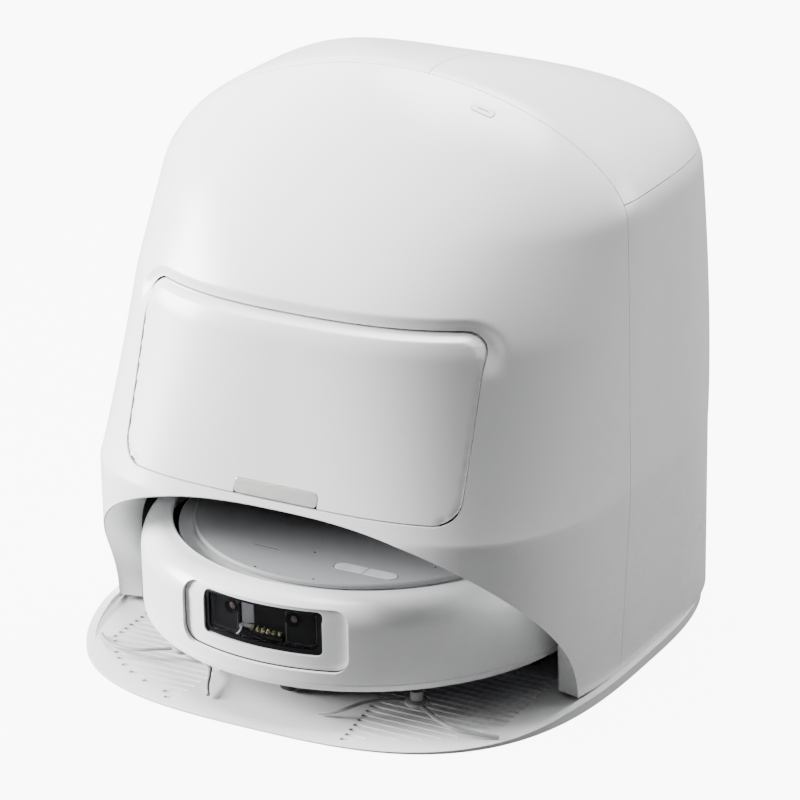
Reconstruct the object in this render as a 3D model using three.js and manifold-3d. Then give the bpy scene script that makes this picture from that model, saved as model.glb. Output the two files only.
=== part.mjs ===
// A robot vacuum docked in its self-emptying, mop-washing base station.
// Millimetres, +Z up. Everything is laid out about the axis of the docked robot (x = 0, y = 0), the
// front of the station is towards -Y, and the outer group moves the whole to its own centre.
import * as THREE from 'three';
import * as BufferGeometryUtils from 'three/addons/utils/BufferGeometryUtils.js';
import Module from 'manifold-3d';

const wasm = await Module();
wasm.setup();

// Station body
const HEIGHT = 441;
const HALF_WIDTH = 207;
const BACK_Y = 258;
const BELLY_Z = 147;          // above this the body leans in
const MIDDLE_Y = 81.8;        // where the body is widest, near the floor
const MIDDLE_Y_TOP = 52.5;
const FRONT_DEPTH = 228.8;
const WALL = 3;
const SEAM_Z = 9;             // base tray to shells
const TANK_SEAM_Z = 360;
const TANK_SEAM_Y = 42;
const COVER_SEAM_Y = 5;       // front shell to rear shell, at the floor
const TANK_SPLIT_X = 30;
const GAP = 0.3;

// Garage
const GARAGE_HALF = 181;
const GARAGE_TOP = 114;
const ARCH_HALF = 199;
const ARCH_TOP = 157;
const FLOOR_Z = 4.6;
const TRAY_FRONT_Y = -190;

// Dust door
const DOOR_HALF = 140;
const DOOR_LOW = 163;
const DOOR_HIGH = 288;
const DOOR_AXIS_Y = -101;
const DOOR_AXIS_Z = 281;
const DOOR_LUG_X = 31;

// Robot
const ROBOT_R = 175.5;
const ROBOT_TOP = 103;
const RIM_R = 150.65;
const PLATE_R = 135.35;
const SKIRT_Z = 33;
const CHASSIS_R = 165;
const CHASSIS_LOW = 14;
const WINDOW_Z = [47, 95];
const WHEEL_R = 33;
const WHEEL_X = 137;
const BRUSH = { x: 100, y: -115 };
const MOP = { x: 62, y: 95, r: 55 };
const CASTER_Y = -128;

// ---- solids ---------------------------------------------------------------------------------

function solidOf(geometry) {
  const g = geometry.clone();
  g.deleteAttribute('normal');
  g.deleteAttribute('uv');
  const merged = BufferGeometryUtils.mergeVertices(g, 1e-4);
  return new wasm.Manifold(new wasm.Mesh({
    numProp: 3,
    vertProperties: new Float32Array(merged.attributes.position.array),
    triVerts: new Uint32Array(merged.index.array),
  }));
}

function geometryOf(solid) {
  const mesh = solid.getMesh();
  const g = new THREE.BufferGeometry();
  g.setAttribute('position', new THREE.BufferAttribute(new Float32Array(mesh.vertProperties), 3));
  g.setIndex(new THREE.BufferAttribute(new Uint32Array(mesh.triVerts), 1));
  g.computeVertexNormals();
  return g;
}

// Stacks rings of equal point counts, given bottom to top and turning left, into a closed solid.
function loft(rings) {
  const count = rings[0].length;
  const points = rings.flat().flatMap((p) => [p.x, p.y, p.z]);
  const faces = [];
  for (let i = 0; i + 1 < rings.length; i += 1) {
    for (let j = 0; j < count; j += 1) {
      const a = i * count + j;
      const b = i * count + ((j + 1) % count);
      faces.push(a, b, b + count, a, b + count, a + count);
    }
  }
  const top = (rings.length - 1) * count;
  for (let j = 1; j + 1 < count; j += 1) {
    faces.push(0, j + 1, j);
    faces.push(top, top + j, top + j + 1);
  }
  const g = new THREE.BufferGeometry();
  g.setAttribute('position', new THREE.Float32BufferAttribute(points, 3));
  g.setIndex(faces);
  return solidOf(g);
}

function box(x0, x1, y0, y1, z0, z1) {
  const g = new THREE.BoxGeometry(x1 - x0, y1 - y0, z1 - z0);
  g.translate((x0 + x1) / 2, (y0 + y1) / 2, (z0 + z1) / 2);
  return solidOf(g);
}

function disc(x, y, z0, z1, radius, sides = 28) {
  const g = new THREE.CylinderGeometry(radius, radius, z1 - z0, sides);
  g.rotateX(Math.PI / 2);
  g.translate(x, y, (z0 + z1) / 2);
  return solidOf(g);
}

// A bar along X.
function bar(x0, x1, y, z, radius, sides = 24) {
  const g = new THREE.CylinderGeometry(radius, radius, x1 - x0, sides);
  g.rotateZ(Math.PI / 2);
  g.translate((x0 + x1) / 2, y, z);
  return solidOf(g);
}

// A bar along Y.
function rod(y0, y1, x, z, radius, sides = 24) {
  const g = new THREE.CylinderGeometry(radius, radius, y1 - y0, sides);
  g.translate(x, (y0 + y1) / 2, z);
  return solidOf(g);
}

// Turns a closed outline of [radius, height] about the upright axis at x, y.
function turned(profile, x = 0, y = 0, sides = 44) {
  const loop = [...profile, profile[0]].map(([r, z]) => new THREE.Vector2(r, z));
  const g = new THREE.LatheGeometry(loop, sides);
  g.rotateX(Math.PI / 2);
  g.translate(x, y, 0);
  return solidOf(g);
}

function shapeOf(points) {
  return new THREE.Shape(points.map(([a, b]) => new THREE.Vector2(a, b)));
}

// Outline in plan, pulled up from z0 to z1.
function slab(points, z0, z1) {
  const g = new THREE.ExtrudeGeometry(shapeOf(points), { depth: z1 - z0, bevelEnabled: false });
  g.translate(0, 0, z0);
  return solidOf(g);
}

// Outline seen from the front, as [x, z], carried from y0 to y1.
function frontCut(points, y0, y1) {
  const g = new THREE.ExtrudeGeometry(shapeOf(points), { depth: y1 - y0, bevelEnabled: false });
  g.rotateX(Math.PI / 2);
  g.translate(0, y1, 0);
  return solidOf(g);
}

// Outline seen from the side, as [y, z], carried from x0 to x1.
function sideCut(points, x0, x1) {
  const g = new THREE.ExtrudeGeometry(shapeOf(points), { depth: x1 - x0, bevelEnabled: false });
  g.applyMatrix4(new THREE.Matrix4().set(0, 0, 1, x0, 1, 0, 0, 0, 0, 1, 0, 0, 0, 0, 0, 1));
  return solidOf(g);
}

function roundedRect(x0, x1, z0, z1, radius, steps = 5) {
  const centres = [[x1 - radius, z0 + radius], [x1 - radius, z1 - radius],
    [x0 + radius, z1 - radius], [x0 + radius, z0 + radius]];
  return centres.flatMap(([cx, cz], quarter) => Array.from({ length: steps + 1 }, (_, i) => {
    const a = (quarter - 1 + i / steps) * Math.PI / 2;
    return [cx + radius * Math.cos(a), cz + radius * Math.sin(a)];
  }));
}

function tube(points, radius, sides, steps) {
  const section = new THREE.Shape();
  section.absarc(0, 0, radius, 0, Math.PI * 2);
  const path = new THREE.CatmullRomCurve3(points.map(([x, y, z]) => new THREE.Vector3(x, y, z)));
  const g = new THREE.ExtrudeGeometry(section, { steps, curveSegments: sides, extrudePath: path, bevelEnabled: false });
  return solidOf(g);
}

// ---- the station's outer form ---------------------------------------------------------------

const clamp01 = (v) => Math.min(1, Math.max(0, v));

// Falls from 1 at the height z1 to 0 at the crown.
function crown(z, z1, power, top) {
  return (1 - clamp01((z - z1) / (top - z1)) ** power) ** (1 / power);
}

// One point of the body's outline at height z. The plan is a rounded rectangle whose front gets
// rounder, and whose back gets squarer, towards the crown.
function bodyPoint(z, angle, inset) {
  const top = HEIGHT - inset;
  const rise = Math.max(0, z - BELLY_Z);
  const k = clamp01(rise / (HEIGHT - BELLY_Z));
  const middle = MIDDLE_Y + (MIDDLE_Y_TOP - MIDDLE_Y) * k ** 2;
  const width = (HALF_WIDTH - inset - 0.058 * rise) * crown(z, 346, 1.88, top);
  const front = (FRONT_DEPTH - inset - 0.282 * rise) * crown(z, 277, 1.5, top);
  const back = (BACK_Y - MIDDLE_Y - inset) * crown(z, 374, 1.5, top);
  const c = Math.cos(angle);
  const s = Math.sin(angle);
  const power = s < 0 ? 3.65 - 1.95 * k ** 0.82 : 3 + 1.3 * k ** 0.82;
  const depth = s < 0 ? front : back;
  return new THREE.Vector3(
    width * Math.sign(c) * Math.abs(c) ** (2 / power),
    middle + depth * Math.sign(s) * Math.abs(s) ** (2 / power),
    z,
  );
}

function bodySolid(inset, low, levels, sides) {
  const top = HEIGHT - inset;
  const heights = [low, 80, BELLY_Z];
  for (let i = 1; i <= levels; i += 1) {
    const t = i / levels;
    heights.push(BELLY_Z + (top - BELLY_Z) * (1 - (1 - 0.985 * t) ** 1.7));
  }
  return loft(heights.map((z) => Array.from({ length: sides }, (_, j) => (
    bodyPoint(z, (j / sides) * Math.PI * 2, inset)))));
}

const outerBody = bodySolid(0, SEAM_Z + 0.2, 12, 52);
const innerBody = bodySolid(WALL, -20, 9, 52);
const shellBody = outerBody.subtract(innerBody);
const frontSide = sideCut([[-400, -30], [COVER_SEAM_Y - GAP, -30], [COVER_SEAM_Y - GAP, 0],
  [TANK_SEAM_Y - GAP, TANK_SEAM_Z], [TANK_SEAM_Y - GAP, 600], [-400, 600]], -300, 300);
const backSide = sideCut([[COVER_SEAM_Y + GAP, -30], [400, -30], [400, TANK_SEAM_Z - GAP],
  [TANK_SEAM_Y + GAP, TANK_SEAM_Z - GAP], [COVER_SEAM_Y + GAP, 0]], -300, 300);

// Half of a superellipse, left to right, standing on the floor.
function archOutline(grow) {
  const points = [];
  for (let i = 0; i <= 28; i += 1) {
    const a = (i / 28) * Math.PI;
    const c = Math.cos(a);
    points.push([
      (ARCH_HALF + grow) * Math.sign(c) * Math.abs(c) ** (2 / 2.65),
      (ARCH_TOP + grow) * Math.abs(Math.sin(a)) ** (2 / 2.65),
    ]);
  }
  points.push([-(ARCH_HALF + grow), -40], [ARCH_HALF + grow, -40]);
  return points;
}

// ---- the scene ------------------------------------------------------------------------------

const group = new THREE.Group();
group.position.set(0, -(BACK_Y + TRAY_FRONT_Y) / 2, 0);

const WHITE = { color: 0xeceded, roughness: 0.3, metalness: 0 };
const PALE = { color: 0xd9dadc, roughness: 0.4, metalness: 0 };
const GREY = { color: 0x9a9c9f, roughness: 0.5, metalness: 0 };
const DARK = { color: 0x2a2b2d, roughness: 0.5, metalness: 0 };
const RUBBER = { color: 0x1c1c1d, roughness: 0.85, metalness: 0 };
const GLASS = { color: 0x0a0b0d, roughness: 0.08, metalness: 0 };
const METAL = { color: 0xb9bcc0, roughness: 0.3, metalness: 1 };
const GOLD = { color: 0xd0a24a, roughness: 0.3, metalness: 1 };
const CLOTH = { color: 0xe2e0da, roughness: 0.95, metalness: 0 };
const GREEN = { color: 0x1f4d33, roughness: 0.6, metalness: 0 };

function add(name, solid, look) {
  const mesh = new THREE.Mesh(geometryOf(solid), new THREE.MeshStandardMaterial(look));
  mesh.name = name;
  group.add(mesh);
}

// Base tray: the floor of the garage, its raised rim and the ramp in front.
function baseOutline(inset) {
  return Array.from({ length: 52 }, (_, j) => {
    const a = (j / 52) * Math.PI * 2;
    const c = Math.cos(a);
    const s = Math.sin(a);
    const depth = (s < 0 ? 40 - TRAY_FRONT_Y : BACK_Y - 40) - inset;
    return [(211.5 - inset) * Math.sign(c) * Math.abs(c) ** (2 / 3),
      40 + depth * Math.sign(s) * Math.abs(s) ** (2 / 3)];
  });
}

const LIP_Z = 2.4;
function baseTray() {
  const tray = slab(baseOutline(0), 1.2, SEAM_Z - 0.1);
  const aboveRim = sideCut([[-400, LIP_Z], [TRAY_FRONT_Y, LIP_Z], [-120, 4.7], [-62, SEAM_Z - 0.1],
    [-62, 40], [-400, 40]], -300, 300);
  const aboveFloor = sideCut([[-400, LIP_Z], [TRAY_FRONT_Y, LIP_Z], [-130, FLOOR_Z], [400, FLOOR_Z],
    [400, 40], [-400, 40]], -300, 300);
  return tray.subtract(aboveRim).subtract(slab(baseOutline(6), 0, 20).intersect(aboveFloor));
}
add('base_tray', baseTray(), WHITE);

[[-1, -1], [1, -1], [-1, 1], [1, 1]].forEach(([sx, sy]) => {
  const name = `rubber_foot_${sy < 0 ? 'front' : 'rear'}_${sx < 0 ? 'left' : 'right'}`;
  add(name, disc(sx * 130, sy < 0 ? -105 : 190, 0, 0.9, 11, 16), RUBBER);
});

// Front shell: the tall front skin with the garage arch and the dust door's opening.
function frontShell() {
  let shell = shellBody.intersect(frontSide);
  const lip = frontCut(archOutline(WALL), -300, -70).subtract(frontCut(archOutline(0), -310, -60));
  const lipZone = outerBody.intersect(box(-300, 300, -300, -70, SEAM_Z + 0.2, 400));
  shell = shell.add(lip.intersect(lipZone).subtract(box(-183, 183, -300, 300, 0, 60)));
  shell = shell.subtract(frontCut(archOutline(0), -300, -8));
  shell = shell.subtract(frontCut(roundedRect(-DOOR_HALF - 1.2, DOOR_HALF + 1.2,
    DOOR_LOW - 1.2, DOOR_HIGH + 6, 17), -300, -40));
  return shell.subtract(buttonWell());
}

// The status button is a pill on the crown; its well goes straight down through the shell.
function pill(grow, z0, z1) {
  const at = new THREE.Vector2(83, 27);
  return slab(roundedRect(at.x - 9 - grow, at.x + 9 + grow, at.y - 3.2 - grow, at.y + 3.2 + grow,
    3.1 + grow, 4), z0, z1);
}
const buttonWell = () => pill(0.5, 380, 500);
const liftedOuter = outerBody.translate(0, 0, 0.4);
add('front_shell', frontShell(), WHITE);
add('status_button', pill(0, 405, 500).intersect(liftedOuter), PALE);

// Rear shell, open at the top for the two tanks, with the inlet's window low at the back.
const INLET = { x: 70, z: 45, w: 34, h: 26 };
function rearShell() {
  const shell = shellBody.intersect(backSide);
  const window = box(INLET.x - INLET.w / 2, INLET.x + INLET.w / 2, 150, 400,
    INLET.z - INLET.h / 2, INLET.z + INLET.h / 2);
  return shell.subtract(window);
}
add('rear_shell', rearShell(), WHITE);

function powerInlet() {
  const y1 = bodyPoint(INLET.z, Math.acos((INLET.x / HALF_WIDTH) ** 1.5), 0).y;
  const block = box(INLET.x - INLET.w / 2 + 0.5, INLET.x + INLET.w / 2 - 0.5, y1 - 32, y1 - 5,
    INLET.z - INLET.h / 2 + 0.5, INLET.z + INLET.h / 2 - 0.5);
  const socket = box(INLET.x - 11, INLET.x + 11, y1 - 18, y1 + 10, INLET.z - 7, INLET.z + 7);
  return block.subtract(socket);
}
add('power_inlet', powerInlet(), DARK);

// Garage liner: the tunnel that the robot drives into, round at the back, with a flange at each side
// that reaches out to the front shell's legs.
const GARAGE_FRONT_Y = -45;
function garageOutline(radius, frontY) {
  const points = [];
  for (let i = 0; i <= 30; i += 1) {
    const a = (i / 30) * Math.PI;
    points.push([radius * Math.cos(a), radius * Math.sin(a)]);
  }
  points.push([-radius, frontY], [radius, frontY]);
  return points;
}
function garageLiner() {
  let block = slab(garageOutline(GARAGE_HALF + 2.5, GARAGE_FRONT_Y), SEAM_Z + 0.2, GARAGE_TOP + 3);
  [-1, 1].forEach((side) => {
    const [x0, x1] = [side * 182, side * 196].sort((a, b) => a - b);
    block = block.add(box(x0, x1, GARAGE_FRONT_Y, GARAGE_FRONT_Y + 2.5, SEAM_Z + 0.2, 108));
  });
  const bay = slab(garageOutline(GARAGE_HALF, -400), 0, GARAGE_TOP);
  const contactHoles = [-22, 22].map((x) => box(x - 6, x + 6, 170, 200, 38, 52));
  const ductHole = disc(0, 120, 100, 130, 17, 28);
  return contactHoles.reduce((solid, hole) => solid.subtract(hole), block.subtract(bay)).subtract(ductHole);
}
add('garage_liner', garageLiner(), DARK);

[-1, 1].forEach((side) => {
  const contact = box(side * 22 - 5.5, side * 22 + 5.5, 177.6, 190, 39, 51);
  add(`charging_contact_${side < 0 ? 'left' : 'right'}`, contact, METAL);
});

// Washboard: the removable scrubbing tray under the mops.
function washboard() {
  let board = slab(roundedRect(-122, 122, 38, 158, 30, 4), FLOOR_Z + GAP, FLOOR_Z + 0.9);
  [-1, 1].forEach((side) => {
    for (let i = 0; i < 4; i += 1) {
      const y = 62 + i * 22;
      board = board.add(box(side * 62 - 36, side * 62 + 36, y - 1.5, y + 1.5, FLOOR_Z + 0.6, FLOOR_Z + 1.6));
    }
  });
  return board;
}
add('washboard', washboard(), GREY);

// Dust compartment: the tub behind the door, with the door's two hinge ears.
const TUB = { half: 130, low: 168, high: 292, front: -74, back: 18 };
function dustCompartment() {
  let tub = box(-TUB.half, TUB.half, TUB.front, TUB.back, TUB.low, TUB.high);
  tub = tub.subtract(box(-TUB.half + 2.5, TUB.half - 2.5, -200, TUB.back - 2.5, TUB.low + 2.5, TUB.high - 2.5));
  tub = tub.add(box(58, 60.5, TUB.front, TUB.back - 1, TUB.low + 1, TUB.high - 1));
  [-1, 1].forEach((side) => {
    const x = side * (DOOR_LUG_X + 9);
    const ear = sideCut([[DOOR_AXIS_Y - 4, DOOR_AXIS_Z - 3.5], [TUB.front + 4, DOOR_AXIS_Z - 3.5],
      [TUB.front + 4, TUB.high - 1], [TUB.front - 2, TUB.high - 1], [DOOR_AXIS_Y - 4, DOOR_AXIS_Z + 3]],
    x - 2, x + 2);
    tub = tub.add(ear);
  });
  tub = tub.subtract(disc(0, -14, 160, 180, 17, 28));
  return tub.subtract(bar(-60, 60, DOOR_AXIS_Y, DOOR_AXIS_Z, 1.8, 16));
}
add('dust_compartment', dustCompartment(), DARK);

[-1, 1].forEach((side) => {
  const x = side * (DOOR_LUG_X + 4);
  add(`door_hinge_pin_${side < 0 ? 'left' : 'right'}`, bar(x - 9, x + 9, DOOR_AXIS_Y, DOOR_AXIS_Z, 1.4, 16), METAL);
});

function frontDoor() {
  const skin = bodySolid(0.4, 100, 12, 52).subtract(bodySolid(3, 90, 12, 52));
  const outline = frontCut(roundedRect(-DOOR_HALF, DOOR_HALF, DOOR_LOW, DOOR_HIGH, 16), -300, -40);
  let door = skin.intersect(outline);
  [-1, 1].forEach((side) => {
    const lug = sideCut([[-117.3, 266], [-113, 266], [DOOR_AXIS_Y + 3, DOOR_AXIS_Z - 2],
      [DOOR_AXIS_Y + 3, DOOR_AXIS_Z + 2.5], [DOOR_AXIS_Y - 3, DOOR_AXIS_Z + 3], [-112, 281]],
    side * DOOR_LUG_X - 4.5, side * DOOR_LUG_X + 4.5);
    door = door.add(lug);
  });
  door = door.subtract(bar(-60, 60, DOOR_AXIS_Y, DOOR_AXIS_Z, 1.8, 16));
  return door.subtract(frontCut(tabOutline(0.35), -300, -100));
}

// The finger tab is let into the door's lower edge.
function tabOutline(grow) {
  return [[-35 - grow, DOOR_LOW - 1], [35 + grow, DOOR_LOW - 1], [35 + grow, DOOR_LOW + 7],
    [31 + grow, DOOR_LOW + 11 + grow], [-31 - grow, DOOR_LOW + 11 + grow], [-35 - grow, DOOR_LOW + 7]];
}
add('front_door', frontDoor(), WHITE);
const tabSkin = bodySolid(0.2, 100, 12, 52).subtract(bodySolid(2.6, 90, 12, 52));
add('door_tab', tabSkin.intersect(frontCut(tabOutline(0), -300, -100))
  .intersect(box(-50, 50, -300, 0, DOOR_LOW, 300)), METAL);

// What the dust compartment holds.
function dustBag() {
  const rings = [];
  for (let i = 0; i <= 8; i += 1) {
    const t = i / 8;
    const swell = 0.86 + 0.14 * Math.sin(Math.PI * t) ** 0.6;
    rings.push(roundedRect(-52 * swell - 30, 52 * swell - 30, -30 - 33 * swell, -30 + 33 * swell, 22 * swell, 4)
      .map(([x, y]) => new THREE.Vector3(x, y, TUB.low + 9 + t * 96)));
  }
  return loft(rings);
}
add('dust_bag', dustBag(), CLOTH);
add('detergent_bottle', slab(roundedRect(66, 122, -58, 8, 12, 4), TUB.low + 3, TUB.low + 92)
  .add(disc(94, -25, TUB.low + 90, TUB.low + 106, 14, 28)), PALE);

// Air path and machinery between the garage and the tanks.
add('dust_duct', tube([[0, 120, 119], [0, 116, 134], [0, 70, 143], [0, 10, 143], [0, -14, 152], [0, -14, 166]], 14, 5, 10), GREY);
function motorHousing() {
  return disc(-100, 90, 118, 150, 42, 36).add(disc(-100, 90, 148, 158, 26, 28));
}
add('suction_fan_motor', motorHousing(), DARK);
add('water_pump', box(70, 120, 60, 96, 118, 146).add(bar(118, 132, 78, 132, 9, 20)), GREY);
add('control_board', box(60, 150, 110, 175, 121, 122.6)
  .add(box(70, 90, 120, 140, 122, 130)).add(box(110, 140, 130, 160, 122, 134)), GREEN);

// Tank deck: the shelf that both tanks stand on.
const DECK_Z = 166;
const DECK_BOTTOM = 161;
add('tank_deck', slab(ringOutline(TANK_SEAM_Z, 7.5), DECK_BOTTOM, DECK_Z), PALE);

// The body's plan at a height, without what lies in front of the tank bay.
function ringOutline(z, inset, frontY = TANK_SEAM_Y + 6) {
  const all = Array.from({ length: 72 }, (_, j) => bodyPoint(z, (j / 72) * Math.PI * 2, inset));
  const kept = all.filter((p) => p.y > frontY + 1);
  const first = kept.findIndex((p, i) => i > 0 && p.distanceTo(kept[i - 1]) > 60);
  const ordered = first > 0 ? [...kept.slice(first), ...kept.slice(0, first)] : kept;
  return [...ordered.map((p) => [p.x, p.y]), [ordered.at(-1).x, frontY], [ordered[0].x, frontY]];
}

// Each tank is an open tub under a lid that carries the station's crown.
function tankBody(x0, x1) {
  const slot = box(x0, x1, -400, 400, 0, 500);
  const inner = box(x0 + 2.5, x1 - 2.5, -400, 400, 0, 500);
  const tub = slab(ringOutline(TANK_SEAM_Z, 8), DECK_Z + GAP, TANK_SEAM_Z - 4).intersect(slot);
  const room = slab(ringOutline(TANK_SEAM_Z, 10.5, TANK_SEAM_Y + 8.5), DECK_Z + 3, 500).intersect(inner);
  return tub.subtract(room);
}
function tankLid(x0, x1) {
  const zone = box(x0, x1, TANK_SEAM_Y + GAP, 400, TANK_SEAM_Z + GAP, 600);
  const room = box(x0 + 3, x1 - 3, TANK_SEAM_Y + 3.3, 400, 0, 600).intersect(bodySolid(3.4, 100, 10, 52));
  return outerBody.intersect(zone).subtract(room);
}
const tanks = { clean_tank: [-300, TANK_SPLIT_X - GAP], dirty_tank: [TANK_SPLIT_X + GAP, 300] };
Object.entries(tanks).forEach(([name, [x0, x1]]) => {
  const inner = [Math.max(x0, -176), Math.min(x1, 176)];
  add(`${name}_tub`, tankBody(...inner), PALE);
  add(`${name}_lid`, tankLid(Math.max(x0, -200), Math.min(x1, 200)), WHITE);
});

// ---- the robot ------------------------------------------------------------------------------

function chassis() {
  const r = CHASSIS_R;
  let pan = turned([[0, CHASSIS_LOW], [132, CHASSIS_LOW], [r, 30], [r, 78], [r - 3, 78], [r - 3, 32],
    [131, CHASSIS_LOW + 3], [0, CHASSIS_LOW + 3]]);
  pan = pan.subtract(box(-72, 72, -200, -60, 45, 100));
  [-1, 1].forEach((side) => {
    pan = pan.subtract(box(side * WHEEL_X - 19, side * WHEEL_X + 19, -42, 42, 0, 40));
    pan = pan.subtract(disc(side * BRUSH.x, BRUSH.y, 0, 40, 6, 20));
    pan = pan.subtract(disc(side * MOP.x, MOP.y, 0, 40, 9, 24));
  });
  pan = pan.subtract(box(-86, 86, -27, 27, 0, 40));
  pan = pan.subtract(disc(0, CASTER_Y, 0, 40, 21, 32));
  return pan.subtract(box(-14, 14, 155, 200, 30, 60));
}
add('robot_chassis', chassis(), DARK);

// The ring that wraps the robot: front half is the bumper, rear half is fixed.
function robotRing() {
  return turned([[171.6, SKIRT_Z], [174.6, SKIRT_Z], [ROBOT_R, SKIRT_Z + 5], [ROBOT_R, 80], [174.2, 88.5],
    [169.8, 96], [162, 101.4], [RIM_R, ROBOT_TOP], [RIM_R, 99.6], [159, 98.6],
    [166, 94.8], [171, 87], [172.2, 80], [172.2, SKIRT_Z + 5]], 0, 0, 52);
}
const BUMPER_BACK_Y = 8;
const bumperSide = box(-300, 300, -300, BUMPER_BACK_Y, 0, 200);
const windowHole = frontCut(roundedRect(-70, 70, WINDOW_Z[0], WINDOW_Z[1], 12), -300, -60);
add('robot_bumper', robotRing().intersect(bumperSide).subtract(windowHole), WHITE);
add('robot_rear_shell', robotRing().intersect(box(-300, 300, BUMPER_BACK_Y + 4, 300, 0, 200))
  .subtract(box(-14, 14, 155, 200, 30, 60)), WHITE);

// Deck and cover plate.
function deck() {
  const disk = turned([[0, 90], [144, 90], [146.6, 92], [146.6, 95.5], [138, 95.5], [137.2, 95.2], [0, 95.2]]);
  return disk.subtract(sensorZone(1)).subtract(plateButtons(0.8, 80, 120));
}
function sensorZone(grow) {
  return box(-72 - grow, 72 + grow, -300, -140 + grow, 40, 100);
}
function plateButtons(grow, z0, z1) {
  return slab(roundedRect(24 - grow, 76 + grow, -104.5 - grow, -93.5 + grow, 5.4 + grow, 4), z0, z1);
}
function topPlate() {
  const disk = turned([[0, 95.6], [PLATE_R - 1, 95.6], [PLATE_R, 96.8], [PLATE_R, 99.2], [PLATE_R - 1.2, 100], [0, 100]], 0, 0, 48);
  return disk.subtract(plateButtons(0.3, 80, 120));
}
add('robot_deck', deck(), PALE);
add('robot_top_plate', topPlate(), PALE);
[['home_button', 25, 49.4], ['power_button', 50.6, 75]].forEach(([name, x0, x1]) => {
  const cap = plateButtons(0, 94, 99.6).intersect(box(x0, x1, -200, 0, 80, 120));
  add(name, cap, PALE);
});

// Sensor module in the bumper's opening.
function sensorFrame() {
  const block = frontCut(roundedRect(-69.4, 69.4, WINDOW_Z[0] + 0.6, WINDOW_Z[1] - 0.6, 11.5), -300, -140);
  const face = turned([[0, 40], [171.5, 40], [171.5, 100], [0, 100]]);
  const room = frontCut(roundedRect(-50, 50, 58, 92, 5), -300, -147);
  return block.intersect(face).subtract(room).subtract(box(-200, 200, -300, -100, 88.5, 200)
    .subtract(turned([[0, 40], [171.5, 40], [160, 100], [0, 100]])));
}
add('sensor_frame', sensorFrame(), PALE);
function windowPane() {
  const pane = frontCut(roundedRect(-49.6, 49.6, 58.4, 91.6, 4.6), -300, -155);
  const skin = turned([[166.5, 50], [168.6, 50], [168.6, 93], [166.5, 93]], 0, 0, 96);
  return pane.intersect(skin);
}
add('camera_window', windowPane(), GLASS);
[-1, 1].forEach((side) => {
  const x = side * 26;
  const word = side < 0 ? 'left' : 'right';
  add(`camera_${word}`, rod(-160.5, -149, x, 84, 6, 24).add(rod(-163, -160, x, 84, 3.6, 20)), DARK);
});
add('contact_strip', box(-12, 12, -165, -156, 66, 73), GOLD);
add('light_module', box(-20, 20, -160, -148, 74.5, 90), GREY);

// Underside: brushes, roller, wheels, caster and mops.
// Each side brush has two arms in a wide V. An arm is given by its reach, direction in degrees and height.
const ARMS = {
  right: [
    [[4, -36, 12.5], [20, -35, 12], [34, -33, 11.5], [48, -27, 9.8], [62, -17, 7.6], [75.5, -10, 6.2]],
    [[4, -165, 12.5], [20, -162, 12.3], [38, -152, 12], [52, -143, 11], [62, -144, 8.5], [72, -148, 6.2]]],
  left: [
    [[4, -145, 12.5], [20, -147, 12], [36, -150, 11.5], [50, -160, 9.8], [64, -172, 7.6], [75.5, -182, 6.2]],
    [[4, -20, 12.5], [20, -24, 12.3], [38, -29, 12], [50, -36, 11], [62, -42, 8.5], [72, -44, 6.2]]],
};
function sideBrush(side) {
  const x = side * BRUSH.x;
  let brush = disc(x, BRUSH.y, 9.5, 14, 9, 28).add(disc(x, BRUSH.y, 12, 22, 5, 20));
  ARMS[side < 0 ? 'left' : 'right'].forEach((arm) => {
    const path = arm.map(([reach, direction, z]) => {
      const a = THREE.MathUtils.degToRad(direction);
      return [x + reach * Math.cos(a), BRUSH.y + reach * Math.sin(a), z];
    });
    brush = brush.add(tube(path, 1.3, 3, 10));
  });
  return brush;
}
function driveWheel(side) {
  const x = side * WHEEL_X;
  const z = FLOOR_Z + 0.5 + WHEEL_R;
  let tyre = bar(x - 9, x + 9, 0, z, WHEEL_R - 1.5, 26);
  for (let i = 0; i < 13; i += 1) {
    const a = (i / 13) * Math.PI * 2;
    const g = new THREE.BoxGeometry(18, 3, 3);
    g.rotateX(a);
    g.translate(x, -Math.sin(a) * (WHEEL_R - 1.6), z + Math.cos(a) * (WHEEL_R - 1.6));
    tyre = tyre.add(solidOf(g));
  }
  return tyre.subtract(bar(x - 20, x + 20, 0, z, 4.4, 20));
}
function wheelArm(side) {
  const x = side * WHEEL_X;
  const z = FLOOR_Z + 0.5 + WHEEL_R;
  const inner = x - side * 14;
  const arm = box(Math.min(inner, inner - side * 5), Math.max(inner, inner - side * 5), -8, 58, z - 9, z + 9);
  const axle = bar(Math.min(inner, x + side * 8), Math.max(inner, x + side * 8), 0, z, 4, 20);
  const boss = bar(Math.min(inner - side * 5, inner + side * 24), Math.max(inner - side * 5, inner + side * 24), 54, z, 6, 20);
  return arm.add(axle).add(boss);
}
[-1, 1].forEach((side) => {
  const word = side < 0 ? 'left' : 'right';
  add(`side_brush_${word}`, sideBrush(side), PALE);
  add(`drive_wheel_${word}`, driveWheel(side), RUBBER);
  add(`wheel_arm_${word}`, wheelArm(side), DARK);
  add(`mop_plate_${word}`, disc(side * MOP.x, MOP.y, 9.6, 12.4, MOP.r - 2, 28)
    .add(disc(side * MOP.x, MOP.y, 12, 30, 7, 16)), DARK);
  add(`mop_pad_${word}`, disc(side * MOP.x, MOP.y, FLOOR_Z + 2, 9.3, MOP.r, 28), CLOTH);
});

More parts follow.
